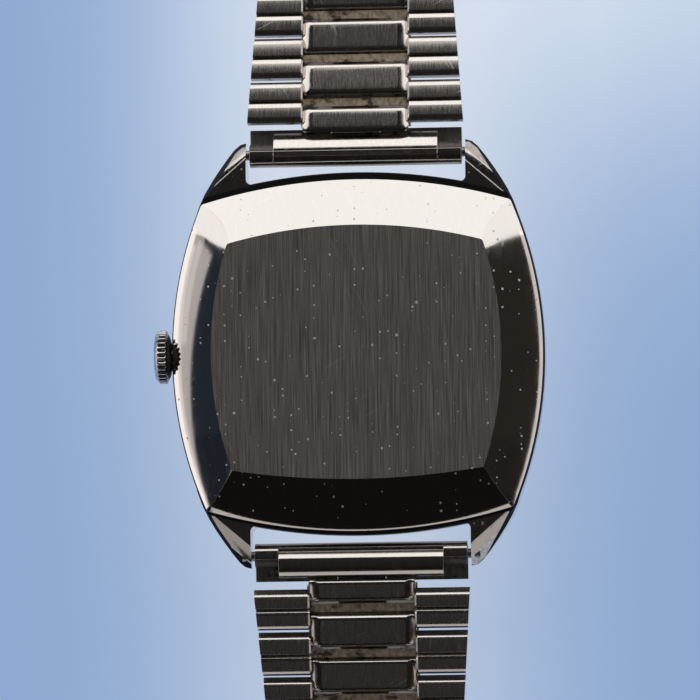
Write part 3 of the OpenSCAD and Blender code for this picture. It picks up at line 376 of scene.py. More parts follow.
# Near-black steel is painted shade and painted dark reflection: on the stem by the case, the tubes under the
# hoods, the wings' cheeks and the steepest ridge edges
painted_shade_steel = metal("painted_shade_steel", (0.10, 0.085, 0.075), 0.45, (4000, 900, 2500), contrast=0.4,
                  depth=0.01, metallic=0.6, seed=20.0)
link_under = metal("link_under", (0.46, 0.44, 0.42), 0.38, (5000, 700, 2500), contrast=0.3,
                   depth=0.015, stain=(0.10, 0.075, 0.05), stain_share=0.1, seed=21.0)
# Near-black and almost without gloss: painted shade and painted dark reflection on the case's top ledge, the
# lugs' outer bands and one lug tip
painted_shade_edge = smooth_stuff("painted_shade_edge", (0.010, 0.009, 0.009), 0.5, cells=3000, shine=0.04)
# Light and half-metallic: a painted glint along the lugs' chamfers and on one lug tip
painted_glint_edge = metal("painted_glint_edge", (0.80, 0.765, 0.73), 0.42, (4000, 4000, 4000), contrast=0.25,
                  depth=0.002, metallic=0.35, seed=10.0)
# Darker steel: painted shade on the tip facets of the lugs at twelve
painted_shade_tip = metal("painted_shade_tip", (0.33, 0.295, 0.28), 0.20, (2500, 2500, 1500), contrast=0.25,
                 depth=0.002, scratches=0.3, seed=11.0)
crown_steel = metal("crown_steel", STEEL, 0.15, (3500, 3500, 1200), contrast=0.10,
                    depth=0.003, stain=(0.06, 0.05, 0.04), stain_share=0.05, seed=24.0)
clasp_steel = metal("clasp_steel", STEEL, 0.26, (10000, 500, 3000), contrast=0.35,
                    depth=0.02, scratches=0.5, seed=27.0)
plate_nickel = metal("plate_nickel", (0.60, 0.57, 0.51), 0.30, (2600, 2600, 2600), contrast=0.18,
                     depth=0.01, seed=33.0)
wheel_brass = metal("wheel_brass", (0.72, 0.52, 0.22), 0.26, (6000, 1500, 3000), contrast=0.15,
                    depth=0.006, seed=36.0)
wheel_steel = metal("wheel_steel", (0.50, 0.50, 0.50), 0.22, (6000, 1500, 3000), contrast=0.15,
                    depth=0.005, seed=39.0)
blued = metal("blued", (0.035, 0.075, 0.28), 0.20, (3000, 3000, 3000), contrast=0.2,
              depth=0.002, seed=42.0)
rubber = smooth_stuff("rubber", (0.018, 0.018, 0.019), 0.75, cells=4000, depth=0.01)
dial_silver = smooth_stuff("dial_silver", (0.42, 0.405, 0.37), 0.42, metallic=0.25, vary=0.05)
marker_dark = metal("marker_dark", (0.07, 0.065, 0.06), 0.25, (3000, 3000, 3000), contrast=0.2,
                    depth=0.002, seed=45.0)
ring_white = smooth_stuff("ring_white", (0.66, 0.65, 0.61), 0.38, metallic=0.3)
ruby = smooth_stuff("ruby", (0.42, 0.015, 0.05), 0.08, vary=0.15, coat=0.5)


def clear_stuff(name):
    """Clear crystal as one shader with a plain alpha."""
    made, tree, shader, place = new_material(name)
    fine = stretched(tree, place, (700, 700, 700), 0, 3.0, 0.6)
    roughness = ramp(tree, fine, [(0.4, 0.03), (0.7, 0.07)])
    shader.inputs["Base Color"].default_value = (0.86, 0.90, 0.93, 1)
    shader.inputs["Alpha"].default_value = 0.12
    shader.inputs["IOR"].default_value = 1.49
    link_surface(tree, shader, roughness, fine, 0.2, 0.001)
    return made


crystal = clear_stuff("crystal_clear")


# Mesh helpers

class Shape:
    """The faces of one piece, in millimetres, with a finish for each face."""

    def __init__(self, finishes):
        self.finishes = finishes
        self.points = []
        self.faces = []
        self.picks = []

    def face(self, numbers, finish):
        """One face, by the numbers of its points."""
        self.faces.append(numbers)
        self.picks.append(self.finishes.index(finish))

    def loft(self, rings, finishes, start_cap=None, end_cap=None, by_side=False):
        """Joins closed rings of equal length. A list of finishes goes by band, or else by side."""
        base, count = len(self.points), len(rings[0])
        for ring in rings:
            self.points += [Vector(p) for p in ring]
        for band in range(len(rings) - 1):
            low = base + band * count
            for i in range(count):
                j = (i + 1) % count
                finish = finishes
                if isinstance(finishes, list):
                    finish = finishes[i if by_side else band]
                self.face((low + i, low + j, low + count + j, low + count + i), finish)
        if start_cap:
            self.face(tuple(base + i for i in reversed(range(count))), start_cap)
        if end_cap:
            top = base + (len(rings) - 1) * count
            self.face(tuple(top + i for i in range(count)), end_cap)

    def sweep(self, sections, sides, ends):
        """Joins (x, profile) sections. A profile holds (u, v) points, counter-clockwise from -X."""
        rings = [[(x, u, v) for u, v in profile] for x, profile in sections]
        self.loft(rings, sides, ends, ends, by_side=True)

    def bar(self, x0, x1, profile, sides, ends):
        """A straight bar of one section from x0 to x1."""
        self.sweep([(x0, profile), (x1, profile)], sides, ends)

    def build(self, name, body, replaces=(), bevel=0.0, angle=25.0):
        """Makes the object, rounds its edges and lets it ride on its body."""
        mesh = bpy.data.meshes.new(name)
        mesh.from_pydata([p * MM for p in self.points], [], self.faces)
        for finish in self.finishes:
            mesh.materials.append(finish)
        mesh.polygons.foreach_set("material_index", self.picks)
        mesh.validate()
        mesh.update()
        mesh.shade_smooth()
        made = bpy.data.objects.new(name, mesh)
        bpy.context.scene.collection.objects.link(made)
        if bevel:
            rounded = made.modifiers.new("rounded_edges", "BEVEL")
            rounded.width = bevel * MM
            rounded.segments = 2
            rounded.limit_method = "ANGLE"
            rounded.angle_limit = math.radians(angle)
            rounded.harden_normals = True
            rounded.miter_outer = "MITER_ARC"
        else:
            mesh.set_sharp_from_angle(angle=math.radians(angle))
        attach(made, body)
        if replaces:
            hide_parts(*replaces)
        return made


def arc_corner(side, end, along):
    """Where the right side's arc meets an end's arc, whose centre lies along below the middle."""
    across = SIDE_R - SIDE_REACH
    apart = math.hypot(across, along)
    foot = (side * side - end * end + apart * apart) / (2 * apart)
    rise = math.sqrt(side * side - foot * foot)
    return (-across + (foot * across + rise * along) / apart, (rise * across - foot * along) / apart)


def cushion(side_inset, end_inset, z, upper_r=CORNER_R, lower_r=CORNER_R, six=None):
    """One closed ring of the case's outline, drawn in from the sides and the ends.

    The end at six can have its own (radius, distance from the middle)."""
    side, across = SIDE_R - side_inset, SIDE_R - SIDE_REACH
    twelve = (END_R - end_inset, END_REACH - end_inset)
    turns, ends = [], []
    for round_r, (radius, distance) in ((upper_r, twelve), (lower_r, six or twelve)):
        along = radius - distance
        x, y = arc_corner(side - round_r, radius - round_r, along)
        turns.append((x, y, round_r, math.atan2(y, x + across), math.atan2(x, y + along)))
        ends.append((radius, along))

    def corner(which):
        x, y, round_r, start, end_turn = turns[which]
        stop = math.pi / 2 - end_turn
        angles = [start + (stop - start) * i / CORNER_STEPS for i in range(CORNER_STEPS)]
        return [(x + round_r * math.cos(a), y + round_r * math.sin(a)) for a in angles]

    def between(start, stop):
        return [start + (stop - start) * i / ARC_STEPS for i in range(ARC_STEPS)]

    upper, lower = turns
    (end, along), (six_r, six_along) = ends
    ring = [(side * math.cos(a) - across, side * math.sin(a)) for a in between(-lower[3], upper[3])]
    ring += corner(0)
    ring += [(end * math.sin(a), end * math.cos(a) - along) for a in between(upper[4], -upper[4])]
    ring += [(-x, y) for x, y in reversed(corner(0)[1:] + [arc_end(turns[0])])]
    ring += [(across - side * math.cos(a), side * math.sin(a)) for a in between(upper[3], -lower[3])]
    ring += [(-x, -y) for x, y in corner(1)]
    ring += [(-six_r * math.sin(a), six_along - six_r * math.cos(a)) for a in between(lower[4], -lower[4])]
    ring += [(x, -y) for x, y in reversed(corner(1)[1:] + [arc_end(turns[1])])]
    return [(x, y, z) for x, y in ring]


def arc_end(turn):
    """Last point of a corner arc."""
    x, y, round_r, _, end_turn = turn
    return (x + round_r * math.sin(end_turn), y + round_r * math.cos(end_turn))


# Case back

def bevel_share(height, bow):
    """Share of a bevel's width at a share of its height. The bevel starts steep and flattens."""
    return ((1 + bow) - math.sqrt((1 + bow) ** 2 - 4 * bow * height)) / (2 * bow)


def make_case_back():
    """Snap-on back: lip, four dished bevels that meet in mitres, and a brushed flat."""
    shape = Shape([back_polished, back_brushed])

    def six(width, share):
        radius = END_R - LIP_SIX_INSET
        return (radius + (FLAT_SIX_R - radius) * share, END_REACH - LIP_SIX_INSET - width)
    rings = [cushion(LIP_SIDE_INSET, LIP_END_INSET, z, six=six(0, 0)) for z in (BACK_LOW, LIP_TOP)]
    rings.append(cushion(LIP_SIDE_INSET + EDGE_W, LIP_END_INSET + EDGE_W, LIP_TOP + EDGE_H,
                         six=six(EDGE_W, 0)))
    for step in range(1, BEVEL_STEPS + 1):
        height = step / BEVEL_STEPS
        share = bevel_share(height, SIX_BOW)
        side = EDGE_W + (BEVEL_SIDE_W - EDGE_W) * bevel_share(height, SIDE_BOW)
        end = EDGE_W + (BEVEL_END_W - EDGE_W) * bevel_share(height, END_BOW)
        z = LIP_TOP + EDGE_H + (BACK_TOP - LIP_TOP - EDGE_H) * height
        upper_r = CORNER_R + MITRE_R * max(0.0, math.sin(math.pi * height)) ** MITRE_POWER
        arc_six = six(EDGE_W + (BEVEL_SIX_W - EDGE_W) * share, share)
        rings.append(cushion(LIP_SIDE_INSET + side, LIP_END_INSET + end, z, upper_r, SIX_CORNER_R, arc_six))
    inside = [cushion(*insets_and_height) for insets_and_height in BACK_INSIDE]
    shape.loft(inside + rings, back_polished, back_polished, back_brushed)
    shape.build("back_shell", "case", ["case_back"], bevel=0.015, angle=22)


make_case_back()


# Case middle

def convex(planes, low, high):
    """What is left of a block after cutting away all outside each (point, normal, kind) plane."""
    made = bmesh.new()
    kinds = ["block"] + [kind for _, _, kind in planes]
    bmesh.ops.create_cube(made, size=1.0)
    for vert in made.verts:
        vert.co = Vector([low[i] + (high[i] - low[i]) * (vert.co[i] + 0.5) for i in range(3)])
    for number, (point, normal, _) in enumerate(planes, 1):
        everything = made.verts[:] + made.edges[:] + made.faces[:]
        cut = bmesh.ops.bisect_plane(made, geom=everything, plane_co=point, plane_no=normal,
                                     clear_outer=True)["geom_cut"]
        edges = [e for e in cut if isinstance(e, bmesh.types.BMEdge)]
        if len(edges) > 2:
            for face in bmesh.ops.contextual_create(made, geom=edges)["faces"]:
                face.material_index = number
    bmesh.ops.dissolve_degenerate(made, dist=1e-5, edges=made.edges[:])
    made.verts.index_update()
    points = [v.co.copy() for v in made.verts]
    faces = [([v.index for v in f.verts], kinds[f.material_index]) for f in made.faces]
    made.free()
    return points, faces


def tilted(out, slope):
    """A normal that leans outwards by a slope in degrees."""
    turn = math.radians(slope)
    return (out * math.sin(turn) + Vector((0, 0, math.cos(turn)))).normalized()


def lug_planes(mid_shift, tip_shift, mid_slope, tip_slope, band):
    """Cutting planes of the lug at the right side of twelve, each with its finish."""
    across = Vector((*FOLD_ACROSS, 0))
    first = Vector((*FOLD_START, LUG_TOP)) + across * mid_shift
    second = first + across * (tip_shift - mid_shift)
    second.z -= (tip_shift - mid_shift) * math.tan(math.radians(mid_slope))
    planes = [(first, tilted(across, mid_slope), "facet"), (second, tilted(across, tip_slope), "tip")]
    for point, before, after in ((first, 0, mid_slope), (second, mid_slope, tip_slope)):
        normal = tilted(across, (before + after) / 2)
        depth = PAINTED_GLINT_W / 2 * math.tan(math.radians(after - before) / 2)
        planes.append((point - normal * depth, normal, "chamfer"))
    for (x0, y0), (x1, y1) in zip(LUG_OUTLINE, LUG_OUTLINE[1:]):
        out = Vector((y1 - y0, x0 - x1, 0)).normalized()
        planes.append((Vector((x0, y0, 0)), out, "wall"))
        middle = Vector(((x0 + x1) / 2, (y0 + y1) / 2, 0)) - out * band
        heights = [LUG_TOP]
        for point, normal, _ in planes[:2]:
            heights.append(point.z - (middle - point).dot(Vector((normal.x, normal.y, 0))) / normal.z)
        middle.z = min(heights)
        planes.append((middle, tilted(out, BAND_SLOPE), "band"))
    planes += [(Vector((0, *point)), Vector((0, *normal)), "wall") for point, normal in LUG_UNDER]
    return planes


# Shifts and slopes of the middle and tip facets, width of the outer band painted as shade, finish of the
# tip: painted shade at twelve and at six on the left, painted glint at six on the right
LUG_FACETS = {
    (1, 1): (0.0, 0.72, 20, 40, 0.18, painted_shade_tip),
    (-1, 1): (0.35, 0.75, 21, 40, 0.34, painted_shade_tip),
    (-1, -1): (0.0, 1.0, 33, 52, 0.05, painted_shade_edge),
    (1, -1): (0.0, 0.75, 33, 44, 0.05, painted_glint_edge),
}


def add_lug(shape, sx, sy, facets, tip_finish):
    """One lug, mirrored by its signs across and along, with the rounded corner at its foot."""
    # The outer band is painted shade, and the chamfers carry a painted glint.
    kinds = {"band": painted_shade_edge, "chamfer": painted_glint_edge, "tip": tip_finish}
    points, faces = convex(lug_planes(*facets), (LUG_IN, LUG_ROOT, LUG_LOW), (*LUG_REACH, LUG_TOP))
    base = len(shape.points)
    shape.points += [Vector((p.x * sx, p.y * sy, p.z)) for p in points]
    for numbers, kind in faces:
        ordered = numbers if sx * sy > 0 else numbers[::-1]
        shape.face(tuple(base + n for n in ordered), kinds.get(kind, case_polished))
    start, stop = FILLET_Y
    corner = [(LUG_IN + FILLET_DEEP, start), (LUG_IN + FILLET_DEEP, stop)]
    for turn in QUARTER:
        corner.append((LUG_IN - FILLET_W * (1 - math.cos(turn)), stop - FILLET_L * math.sin(turn)))
    corner.append((LUG_IN - FILLET_W, start))
    low, high = ([(x * sx, y * sy, z) for x, y in corner] for z in FILLET_Z)
    if sx * sy > 0:
        low, high = low[::-1], high[::-1]
    shape.loft([high, low], case_polished, case_polished, case_polished)


def make_case_middle():
    """The ring that holds the movement, with four faceted lugs."""
    shape = Shape([case_polished, painted_shade_edge, painted_glint_edge, painted_shade_tip])
    outside = [cushion(inset, inset, z) for inset, z in CASE_PROFILE]
    inside = [cushion(inset, inset, z) for inset, z in CASE_INSIDE]
    # The top of the outside and the ledge round the back are painted shade.
    finishes = [case_polished] * 4 + [painted_shade_edge] * 3 + [case_polished] * 8
    shape.loft(outside + inside + outside[:1], finishes)
    for (sx, sy), (*facets, tip_finish) in LUG_FACETS.items():
        add_lug(shape, sx, sy, facets, tip_finish)
    shape.build("case_shell", "case", ["case_middle"], angle=16)


make_case_middle()


# Crown

def make_crown():
    """Fluted crown with a tapered skirt and a domed cap, turned round the stem."""
    shape = Shape([crown_steel, painted_shade_steel])
    count = FLUTES * FLUTE_STEPS

    def ring(x, radius, depth):
        points = []
        for i in range(count):
            a = math.tau * i / count
            r = radius - depth * (0.5 - 0.5 * math.cos(FLUTES * a)) ** FLUTE_POWER
            points.append((x, r * math.cos(a), CROWN_Z + r * math.sin(a)))
        return points
    rings = [ring(CROWN_X - reach, radius, depth) for reach, radius, depth in CROWN_STATIONS]
    # The first bands, round the stem next to the case, are painted shade.
    finishes = [painted_shade_steel] * 4 + [crown_steel] * (len(rings) - 5)
    shape.loft(rings, finishes, painted_shade_steel, crown_steel)
    shape.build("fluted_crown", "crown", ["crown"], angle=48)


make_crown()


# Bracelet

def hinge(period):
    """Distance from the case, height and slope of a hinge line."""
    if period < len(HINGES):
        return HINGES[period]
    y, z, slope = HINGES[-1]
    return (y + PITCH * (period - len(HINGES) + 1), z, slope)


def seat(end, period):
    """The matrix that puts a hinge's own frame in place. End is 1 for twelve and -1 for six."""
    y, z, slope = hinge(period)
    half = Matrix.Rotation(0 if end > 0 else math.pi, 4, "Z")
    return half @ Matrix.Translation((0, y, z)) @ Matrix.Rotation(math.radians(slope), 4, "X")


def place(shape, start, matrix):
    """Moves the points that were added since start."""
    for i in range(start, len(shape.points)):
        shape.points[i] = matrix @ shape.points[i]


# Edges of the two ridges of a wing, from the flat outwards: width, slopes in degrees, finish.
# Ridge 1 lies nearer the case. Low is the edge towards the case.
# The near-black bands on the steepest edges are painted shade and painted dark reflection.
RIDGE_EDGES = {
    1: {
        (1, "low"): [(0.30, 5, 30, link_polished), (0.12, 45, 60, painted_shade_steel)],
        (1, "high"): [(0.50, 11, 27, link_polished), (0.06, 45, 60, painted_shade_steel)],
        (2, "low"): [(0.10, 5, 20, link_brushed), (0.08, 40, 55, link_polished)],
        (2, "high"): [(0.40, 11, 27, link_polished), (0.26, 46, 54, painted_shade_steel)],
    },
    -1: {
        (1, "low"): [(0.10, 10, 30, link_brushed), (0.28, 40, 58, link_polished), (0.18, 62, 66, painted_shade_steel)],
        (1, "high"): [(0.10, 5, 20, link_brushed), (0.08, 40, 50, link_polished)],
        (2, "low"): [(0.20, 10, 36, link_polished), (0.24, 42, 56, link_polished)],
        (2, "high"): [(0.10, 5, 15, link_brushed), (0.36, 25, 30, link_polished), (0.12, 50, 60, painted_shade_steel)],
    },
}


def falling_edge(segments, steps=3):
    """(distance in from the edge, drop) points of an edge and the finish between them."""
    reach, drop = sum(width for width, *_ in segments), 0.0
    points, finishes = [(reach, drop)], []
    for width, start, stop, finish in segments:
        for i in range(steps):
            reach -= width / steps
            drop += math.tan(math.radians(start + (stop - start) * (i + 0.5) / steps)) * width / steps
            points.append((reach, drop))
            finishes.append(finish)
    return points, finishes


def ridge(shape, side, inner, outer0, outer1, u0, u1, end, number):
    """One ridge of a wing, cut along the taper at its outer end."""
    low_edge, low_finishes = falling_edge(RIDGE_EDGES[end][(number, "low")])
    high_edge, high_finishes = falling_edge(RIDGE_EDGES[end][(number, "high")])
    rising = [(u0 + reach, RIDGE_TOP - drop) for reach, drop in low_edge]
    falling = [(u1 - reach, RIDGE_TOP - drop) for reach, drop in reversed(high_edge)]
    flat = high_finishes[::-1] + [link_brushed] + low_finishes
    if number == 1:
        profile = [(u0 + UNDERCUT, RIDGE_LOW), (u1, RIDGE_LOW)] + falling + rising + [(u0, FLANK_TOP)]
        sides = [link_under] * 2 + flat + [link_under] * 2
    else:
        profile = [(u0, RIDGE_LOW), (u1 - UNDERCUT, RIDGE_LOW), (u1, FLANK_TOP)] + falling + rising
        sides = [link_under] * 3 + flat + [link_under]
    start = len(shape.points)
    chamfer = [(u, v - END_DROP if v > FLANK_TOP else v) for u, v in profile]
    sections = [(0, chamfer), (END_ROUND / (outer0 - inner), profile), (1, profile)]
    if side < 0:
        sections = [(1 - share, section) for share, section in reversed(sections)]
    shape.sweep(sections, sides, link_polished)
    for i in range(start, len(shape.points)):
        point = shape.points[i]
        outer = outer0 + (outer1 - outer0) * (point.y - u0) / (u1 - u0)
        share = point.x if side > 0 else 1 - point.x
        point.x = side * (inner + (outer - inner) * share)


def box(shape, x0, x1, u0, u1, v0, v1, finish):
    """A plain block of one finish."""
    shape.bar(x0, x1, [(u0, v0), (u1, v0), (u1, v1), (u0, v1)], finish, finish)


def rod(shape, x0, x1, u, radius, finish, count=20):
    """A round pin or knuckle across the bracelet, at the height of the hinge line."""
    turns = [math.tau * i / count for i in range(count)]
    profile = [(u + radius * math.cos(a), radius * math.sin(a)) for a in turns]
    shape.bar(x0, x1, profile, finish, finish)


def plate(shape, u0, u1):
    """A raised centre plate: bowed ends, rounded corners and edges that fall away."""
    def ring(inset_u, inset_x, v):
        half_w, a, b = PLATE_W / 2 - inset_x, u0 + inset_u, u1 - inset_u
        mid, reach = (a + b) / 2, (b - a) / 2
        points = []
        for corner in range(4):
            sx = 1 if corner in (0, 1) else -1
            su = 1 if corner in (1, 2) else -1
            cx, cu = sx * (half_w - PLATE_CORNER), mid + su * (reach - PLATE_CORNER)
            for turn in QUARTER:
                turn += math.pi / 2 * (corner - 1)
                points.append((cx + PLATE_CORNER * math.cos(turn), cu + PLATE_CORNER * math.sin(turn)))
            if corner in (0, 2):
                for i in range(1, 10):
                    points.append((sx * half_w, mid - su * (reach - PLATE_CORNER) * (i / 5 - 1)))
        out = []
        for x, u in points:
            bow = max(0.0, 1 - abs((u - mid) / reach) ** 5)
            share = max(0.0, abs(x) / half_w - BULGE_FROM) / BULGE_REACH * (1 - inset_x / PLATE_EDGE[-1][1])
            out.append((x + math.copysign(PLATE_BULGE * bow * share, x), u, v))
        return out
    rings = [ring(PLATE_SINK, PLATE_SINK, PLATE_LOW)]
    rings += [ring(inset_u, inset_x, PLATE_TOP - drop) for inset_u, inset_x, drop in PLATE_EDGE]
    finishes = [link_under] + [link_polished] * (len(PLATE_EDGE) - 1)
    shape.loft(rings, finishes, link_under, link_brushed)


def period(shape, k, end):
    """One period of the bracelet in its hinge's frame: two ribbed wings, a cross bar and a plate."""
    def half_width(u):
        return max(LAST_W, FIRST_W - TAPER * (k - 1 + u / PITCH)) / 2
    start = len(shape.points)
    inner = PLATE_W / 2 + WING_GAP
    for side in (-1, 1):
        for number, (near, far) in RIDGE_SPANS.items():
            if number == 1 and k == 1 and end < 0:
                near = FIRST_NEAR
            ridge(shape, side, inner, half_width(near), half_width(far), near, far, end, number)
        x0, x1 = sorted(side * (inner + x) for x in CHEEK_X)
        # The cheek in the gap between plate and wing is painted shade.
        box(shape, x0, x1, *CHEEK, painted_shade_steel)
        x0, x1 = sorted((side * (inner + 0.05), side * (half_width(2.5) - 0.05)))
        box(shape, x0, x1, *STRUT, link_under)
        rod(shape, *sorted(side * x for x in KNUCKLE_X), PITCH, KNUCKLE_R, link_dirty)
    box(shape, *CROSS_BAR, link_dirty)
    rod(shape, -TONGUE_X, TONGUE_X, 0, KNUCKLE_R, link_under)
    box(shape, *TONGUE, link_under)
    rod(shape, -PIN_X, PIN_X, PITCH, PIN_R, link_under, PIN_SIDES)
    box(shape, *POST, link_under)
    box(shape, *TAIL, link_dirty)
    plate(shape, FIRST_REACH[end] if k == 1 else -PLATE_REACH, PLATE_REACH)
    place(shape, start, seat(end, k))


def arc(radius, start, stop, steps=24):
    """(u, v) points of an arc round the hinge line, between two angles from its highest point."""
    turns = [math.radians(start + (stop - start) * i / steps) for i in range(steps + 1)]
    return [(radius * math.sin(a), radius * math.cos(a)) for a in turns]


def sheet_bar(shape, x0, x1, outer, thick=0.22):
    """A bent sheet: the outer line of its section, thickened inwards."""
    inner = []
    for i, (u, v) in enumerate(outer):
        before, after = outer[max(0, i - 1)], outer[min(len(outer) - 1, i + 1)]
        du, dv = after[0] - before[0], after[1] - before[1]
        length = math.hypot(du, dv)
        inner.append((u + thick * dv / length, v - thick * du / length))
    shape.bar(x0, x1, inner + outer[::-1], link_polished, link_polished)


def slope_line(u, v, runs, steps=5):
    """(u, v) points from a start point over runs of (width, first slope, last slope)."""
    points = [(u, v)]
    for width, start, stop in runs:
        for i in range(steps):
            u += width / steps
            v -= math.tan(math.radians(start + (stop - start) * (i + 0.5) / steps)) * width / steps
            points.append((u, v))
    return points


# Outer line of the hood's sheet at twelve (1) and at six (-1)
HOODS = {
    1: slope_line(-0.34, 1.069, [(0.70, 6, 9), (0.91, 18, 34), (0.56, 38, 55.5)]),
    -1: slope_line(-0.37, 0.70, [(0.10, -60, -44), (0.40, -40.5, -34), (0.56, -20, 0), (0.45, 0, 22),
                                 (0.42, 31, 38), (0.20, 46, 60)]),
}


def make_end_pieces():
    """The curled sheet on the spring bar, the hood over it and the plate with the first hinge."""
    for hour, end in ((12, 1), (6, -1)):
        shape = Shape([link_polished, link_under, link_dirty, painted_shade_steel])
        sheet_bar(shape, -HOOD_X, HOOD_X, arc(CURL_R, CURL_START, CURL_STOP[end]))
        sheet_bar(shape, -HOOD_X, HOOD_X, HOODS[end])
        for side in (-1, 1):
            x0, x1 = sorted((side * HOOD_X, side * CURL_X))
            sheet_bar(shape, x0, x1, arc(CURL_R, CURL_START, CURL_STOP[1]))
            tube = arc(TUBE_R, 0, 90, 8)[::-1]
            # The tube under the curl is painted shade.
            shape.bar(x0, x1, [(TUBE_R, -0.4)] + tube, painted_shade_steel, painted_shade_steel)
            x0, x1 = sorted((side * UNDER_X, side * CURL_X))
            shape.bar(x0, x1, UNDER_SIDE, link_under, link_under)
            rod(shape, *sorted(side * x for x in KNUCKLE_X), HINGE_U, KNUCKLE_R, link_dirty)
        shape.bar(-UNDER_X, UNDER_X, UNDER_MIDDLE, link_under, link_under)
        rod(shape, -PIN_X, PIN_X, HINGE_U, PIN_R, link_under, PIN_SIDES)
        place(shape, 0, seat(end, 0))
        name = f"end_piece_{hour}"
        shape.build(f"hooded_{name}", name, [name], bevel=0.06, angle=24)


# The bracelet periods that each link carries, counted from the case
LINK_PERIODS = {
    12: [[1], [2], [3], [4], [5], [6], [7, 8], [9, 10]],
    6: [[1], [2], [3], [4], [5, 6], [7, 8], [9, 10], [11, 12]],
}


def make_links():
    """Every link of both halves."""
    for hour, groups in LINK_PERIODS.items():
        for number, periods in enumerate(groups, 1):
            shape = Shape([link_brushed, link_polished, link_dirty, link_under, painted_shade_steel])
            for k in periods:
                period(shape, k, 1 if hour == 12 else -1)
            name = f"link_{hour}_{number}"
            shape.build(f"ribbed_{name}", name, [name], bevel=0.045, angle=24)


make_links()
make_end_pieces()


# CAD nodes that stay, each with its finish

FINISHES = {
    case_polished: ["crown_tube", "winding_stem"],
    link_under: ["spring_bars"],
    clasp_steel: ["clasp_catch", "clasp_cover", "clasp_long_blade", "clasp_short_blade"],
    rubber: ["back_gasket"],
    crystal: ["crystal"],
    ring_white: ["dial_ring"],
    dial_silver: ["dial"],
    marker_dark: ["hour_markers", "hour_hand", "minute_hand", "seconds_hand"],
    plate_nickel: ["movement_ring", "main_plate", "barrel_bridge", "train_bridge", "pallet_cock",
                   "balance_cock"],
    wheel_brass: ["mainspring_barrel", "center_wheel", "third_wheel", "fourth_wheel", "balance_wheel",
                  "minute_wheel", "hour_wheel"],
    wheel_steel: ["mainspring", "escape_wheel", "pallet_fork", "ratchet_wheel", "crown_wheel",
                  "winding_pinion", "click", "cannon_pinion"],
    blued: ["hairspring", "movement_screws"],
    ruby: ["jewels"],
}
for finish, names in FINISHES.items():
    for name in names:
        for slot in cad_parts[name].material_slots:
            slot.link = "OBJECT"
            slot.material = finish


# Floor, light and camera

SKY_LIGHT = (0.785, 0.868, 1.0)
SKY_DARK = (0.302, 0.450, 0.722)
FLOOR_LIGHT = 0.4
FLOOR_REACH = 1.6
FLOOR_Z = -0.00003
# Middle and width, in millimetres, of the pale column along the watch and of the pale corner
COLUMN = (-1.0, 14.4)
CORNER = (36.0, 20.0)
# Fades over a distance: start and stop in metres, share at the start and at the stop
COLUMN_FADE = (-0.022, 0.002, 0.72, 1.15)
CORNER_FADE = (0.0, 0.020, 0.0, 0.8)
PLAIN_FADE = (0.042, 0.13, 0.0, 1.0)
FAR_FADE = (0.2, 1.5, 0.0, 1 - FLOOR_LIGHT)
GLOW_FADE = (0.10, 0.30, 0.72, 1.0)
# Dim card overhead: heights where it fades in, levels towards six and twelve, level of the dark room
CARD_HEIGHTS = (0.76, 0.90)
CARD_LEVELS = (0.005, 0.015)
ROOM_LEVEL = 0.007


def span(tree, value, low, high, start, stop, **settings):
    """Maps the range from low to high onto the range from start to stop."""
    return node(tree, "ShaderNodeMapRange", {"Value": value, 1: low, 2: high, 3: start, 4: stop},
                **settings).outputs[0]


def bell(tree, value, middle, width):
    """A smooth hump of height 1 over a value in metres, with its middle and width in millimetres."""
    share = maths(tree, "DIVIDE", maths(tree, "SUBTRACT", value, middle * MM), width * MM)
    return maths(tree, "EXPONENT", maths(tree, "MULTIPLY", maths(tree, "MULTIPLY", share, share), -1.0))


def floor_shader(tree, place):
    """Pale blue that is lighter along the watch, even further out, and keeps the watch's shadow."""
    axes = node(tree, "ShaderNodeSeparateXYZ", {0: place})
    across, along = axes.outputs[0], axes.outputs[1]
    column = bell(tree, across, *COLUMN)
    column = maths(tree, "MULTIPLY", column, span(tree, along, *COLUMN_FADE))
    right = span(tree, across, *CORNER_FADE)
    corner = maths(tree, "MULTIPLY", bell(tree, along, *CORNER), right)
    light = maths(tree, "ADD", column, corner)
    reach = node(tree, "ShaderNodeVectorMath", {0: place}, operation="LENGTH").outputs["Value"]
    away = span(tree, reach, *PLAIN_FADE, interpolation_type="SMOOTHSTEP")
    light = maths(tree, "MULTIPLY", light, maths(tree, "SUBTRACT", 1.0, away))
    light = maths(tree, "ADD", light, maths(tree, "MULTIPLY", away, FLOOR_LIGHT))
    light = maths(tree, "ADD", light, span(tree, reach, *FAR_FADE))
    tone = mix(tree, light, SKY_DARK, SKY_LIGHT)
    matt = node(tree, "ShaderNodeBsdfDiffuse", {"Color": tone})
    glow = node(tree, "ShaderNodeEmission", {"Color": tone, "Strength": 1.0})
    share = span(tree, reach, *GLOW_FADE)
    return node(tree, "ShaderNodeMixShader", {0: share, 1: matt.outputs[0], 2: glow.outputs[0]})


def make_floor():
    """A floor that can be seen through from below and lets the lamps underneath shine through."""
    made, tree, shader, place = new_material("floor_blue")
    tree.nodes.remove(shader)
    out = next(n for n in tree.nodes if n.type == "OUTPUT_MATERIAL")
    both = floor_shader(tree, place)
    clear = node(tree, "ShaderNodeBsdfTransparent")
    path = node(tree, "ShaderNodeLightPath")
    facing = node(tree, "ShaderNodeNewGeometry").outputs["Backfacing"]
    through = maths(tree, "MAXIMUM", facing, path.outputs["Is Shadow Ray"])
    final = node(tree, "ShaderNodeMixShader", {0: through, 1: both.outputs[0], 2: clear.outputs[0]})
    tree.links.new(final.outputs[0], out.inputs[0])
    mesh = bpy.data.meshes.new("floor")
    signs = ((-1, -1), (1, -1), (1, 1), (-1, 1))
    mesh.from_pydata([(FLOOR_REACH * x, FLOOR_REACH * y, FLOOR_Z) for x, y in signs], [], [(0, 1, 2, 3)])
    mesh.materials.append(made)
    floor = bpy.data.objects.new("floor", mesh)
    bpy.context.scene.collection.objects.link(floor)


make_floor()


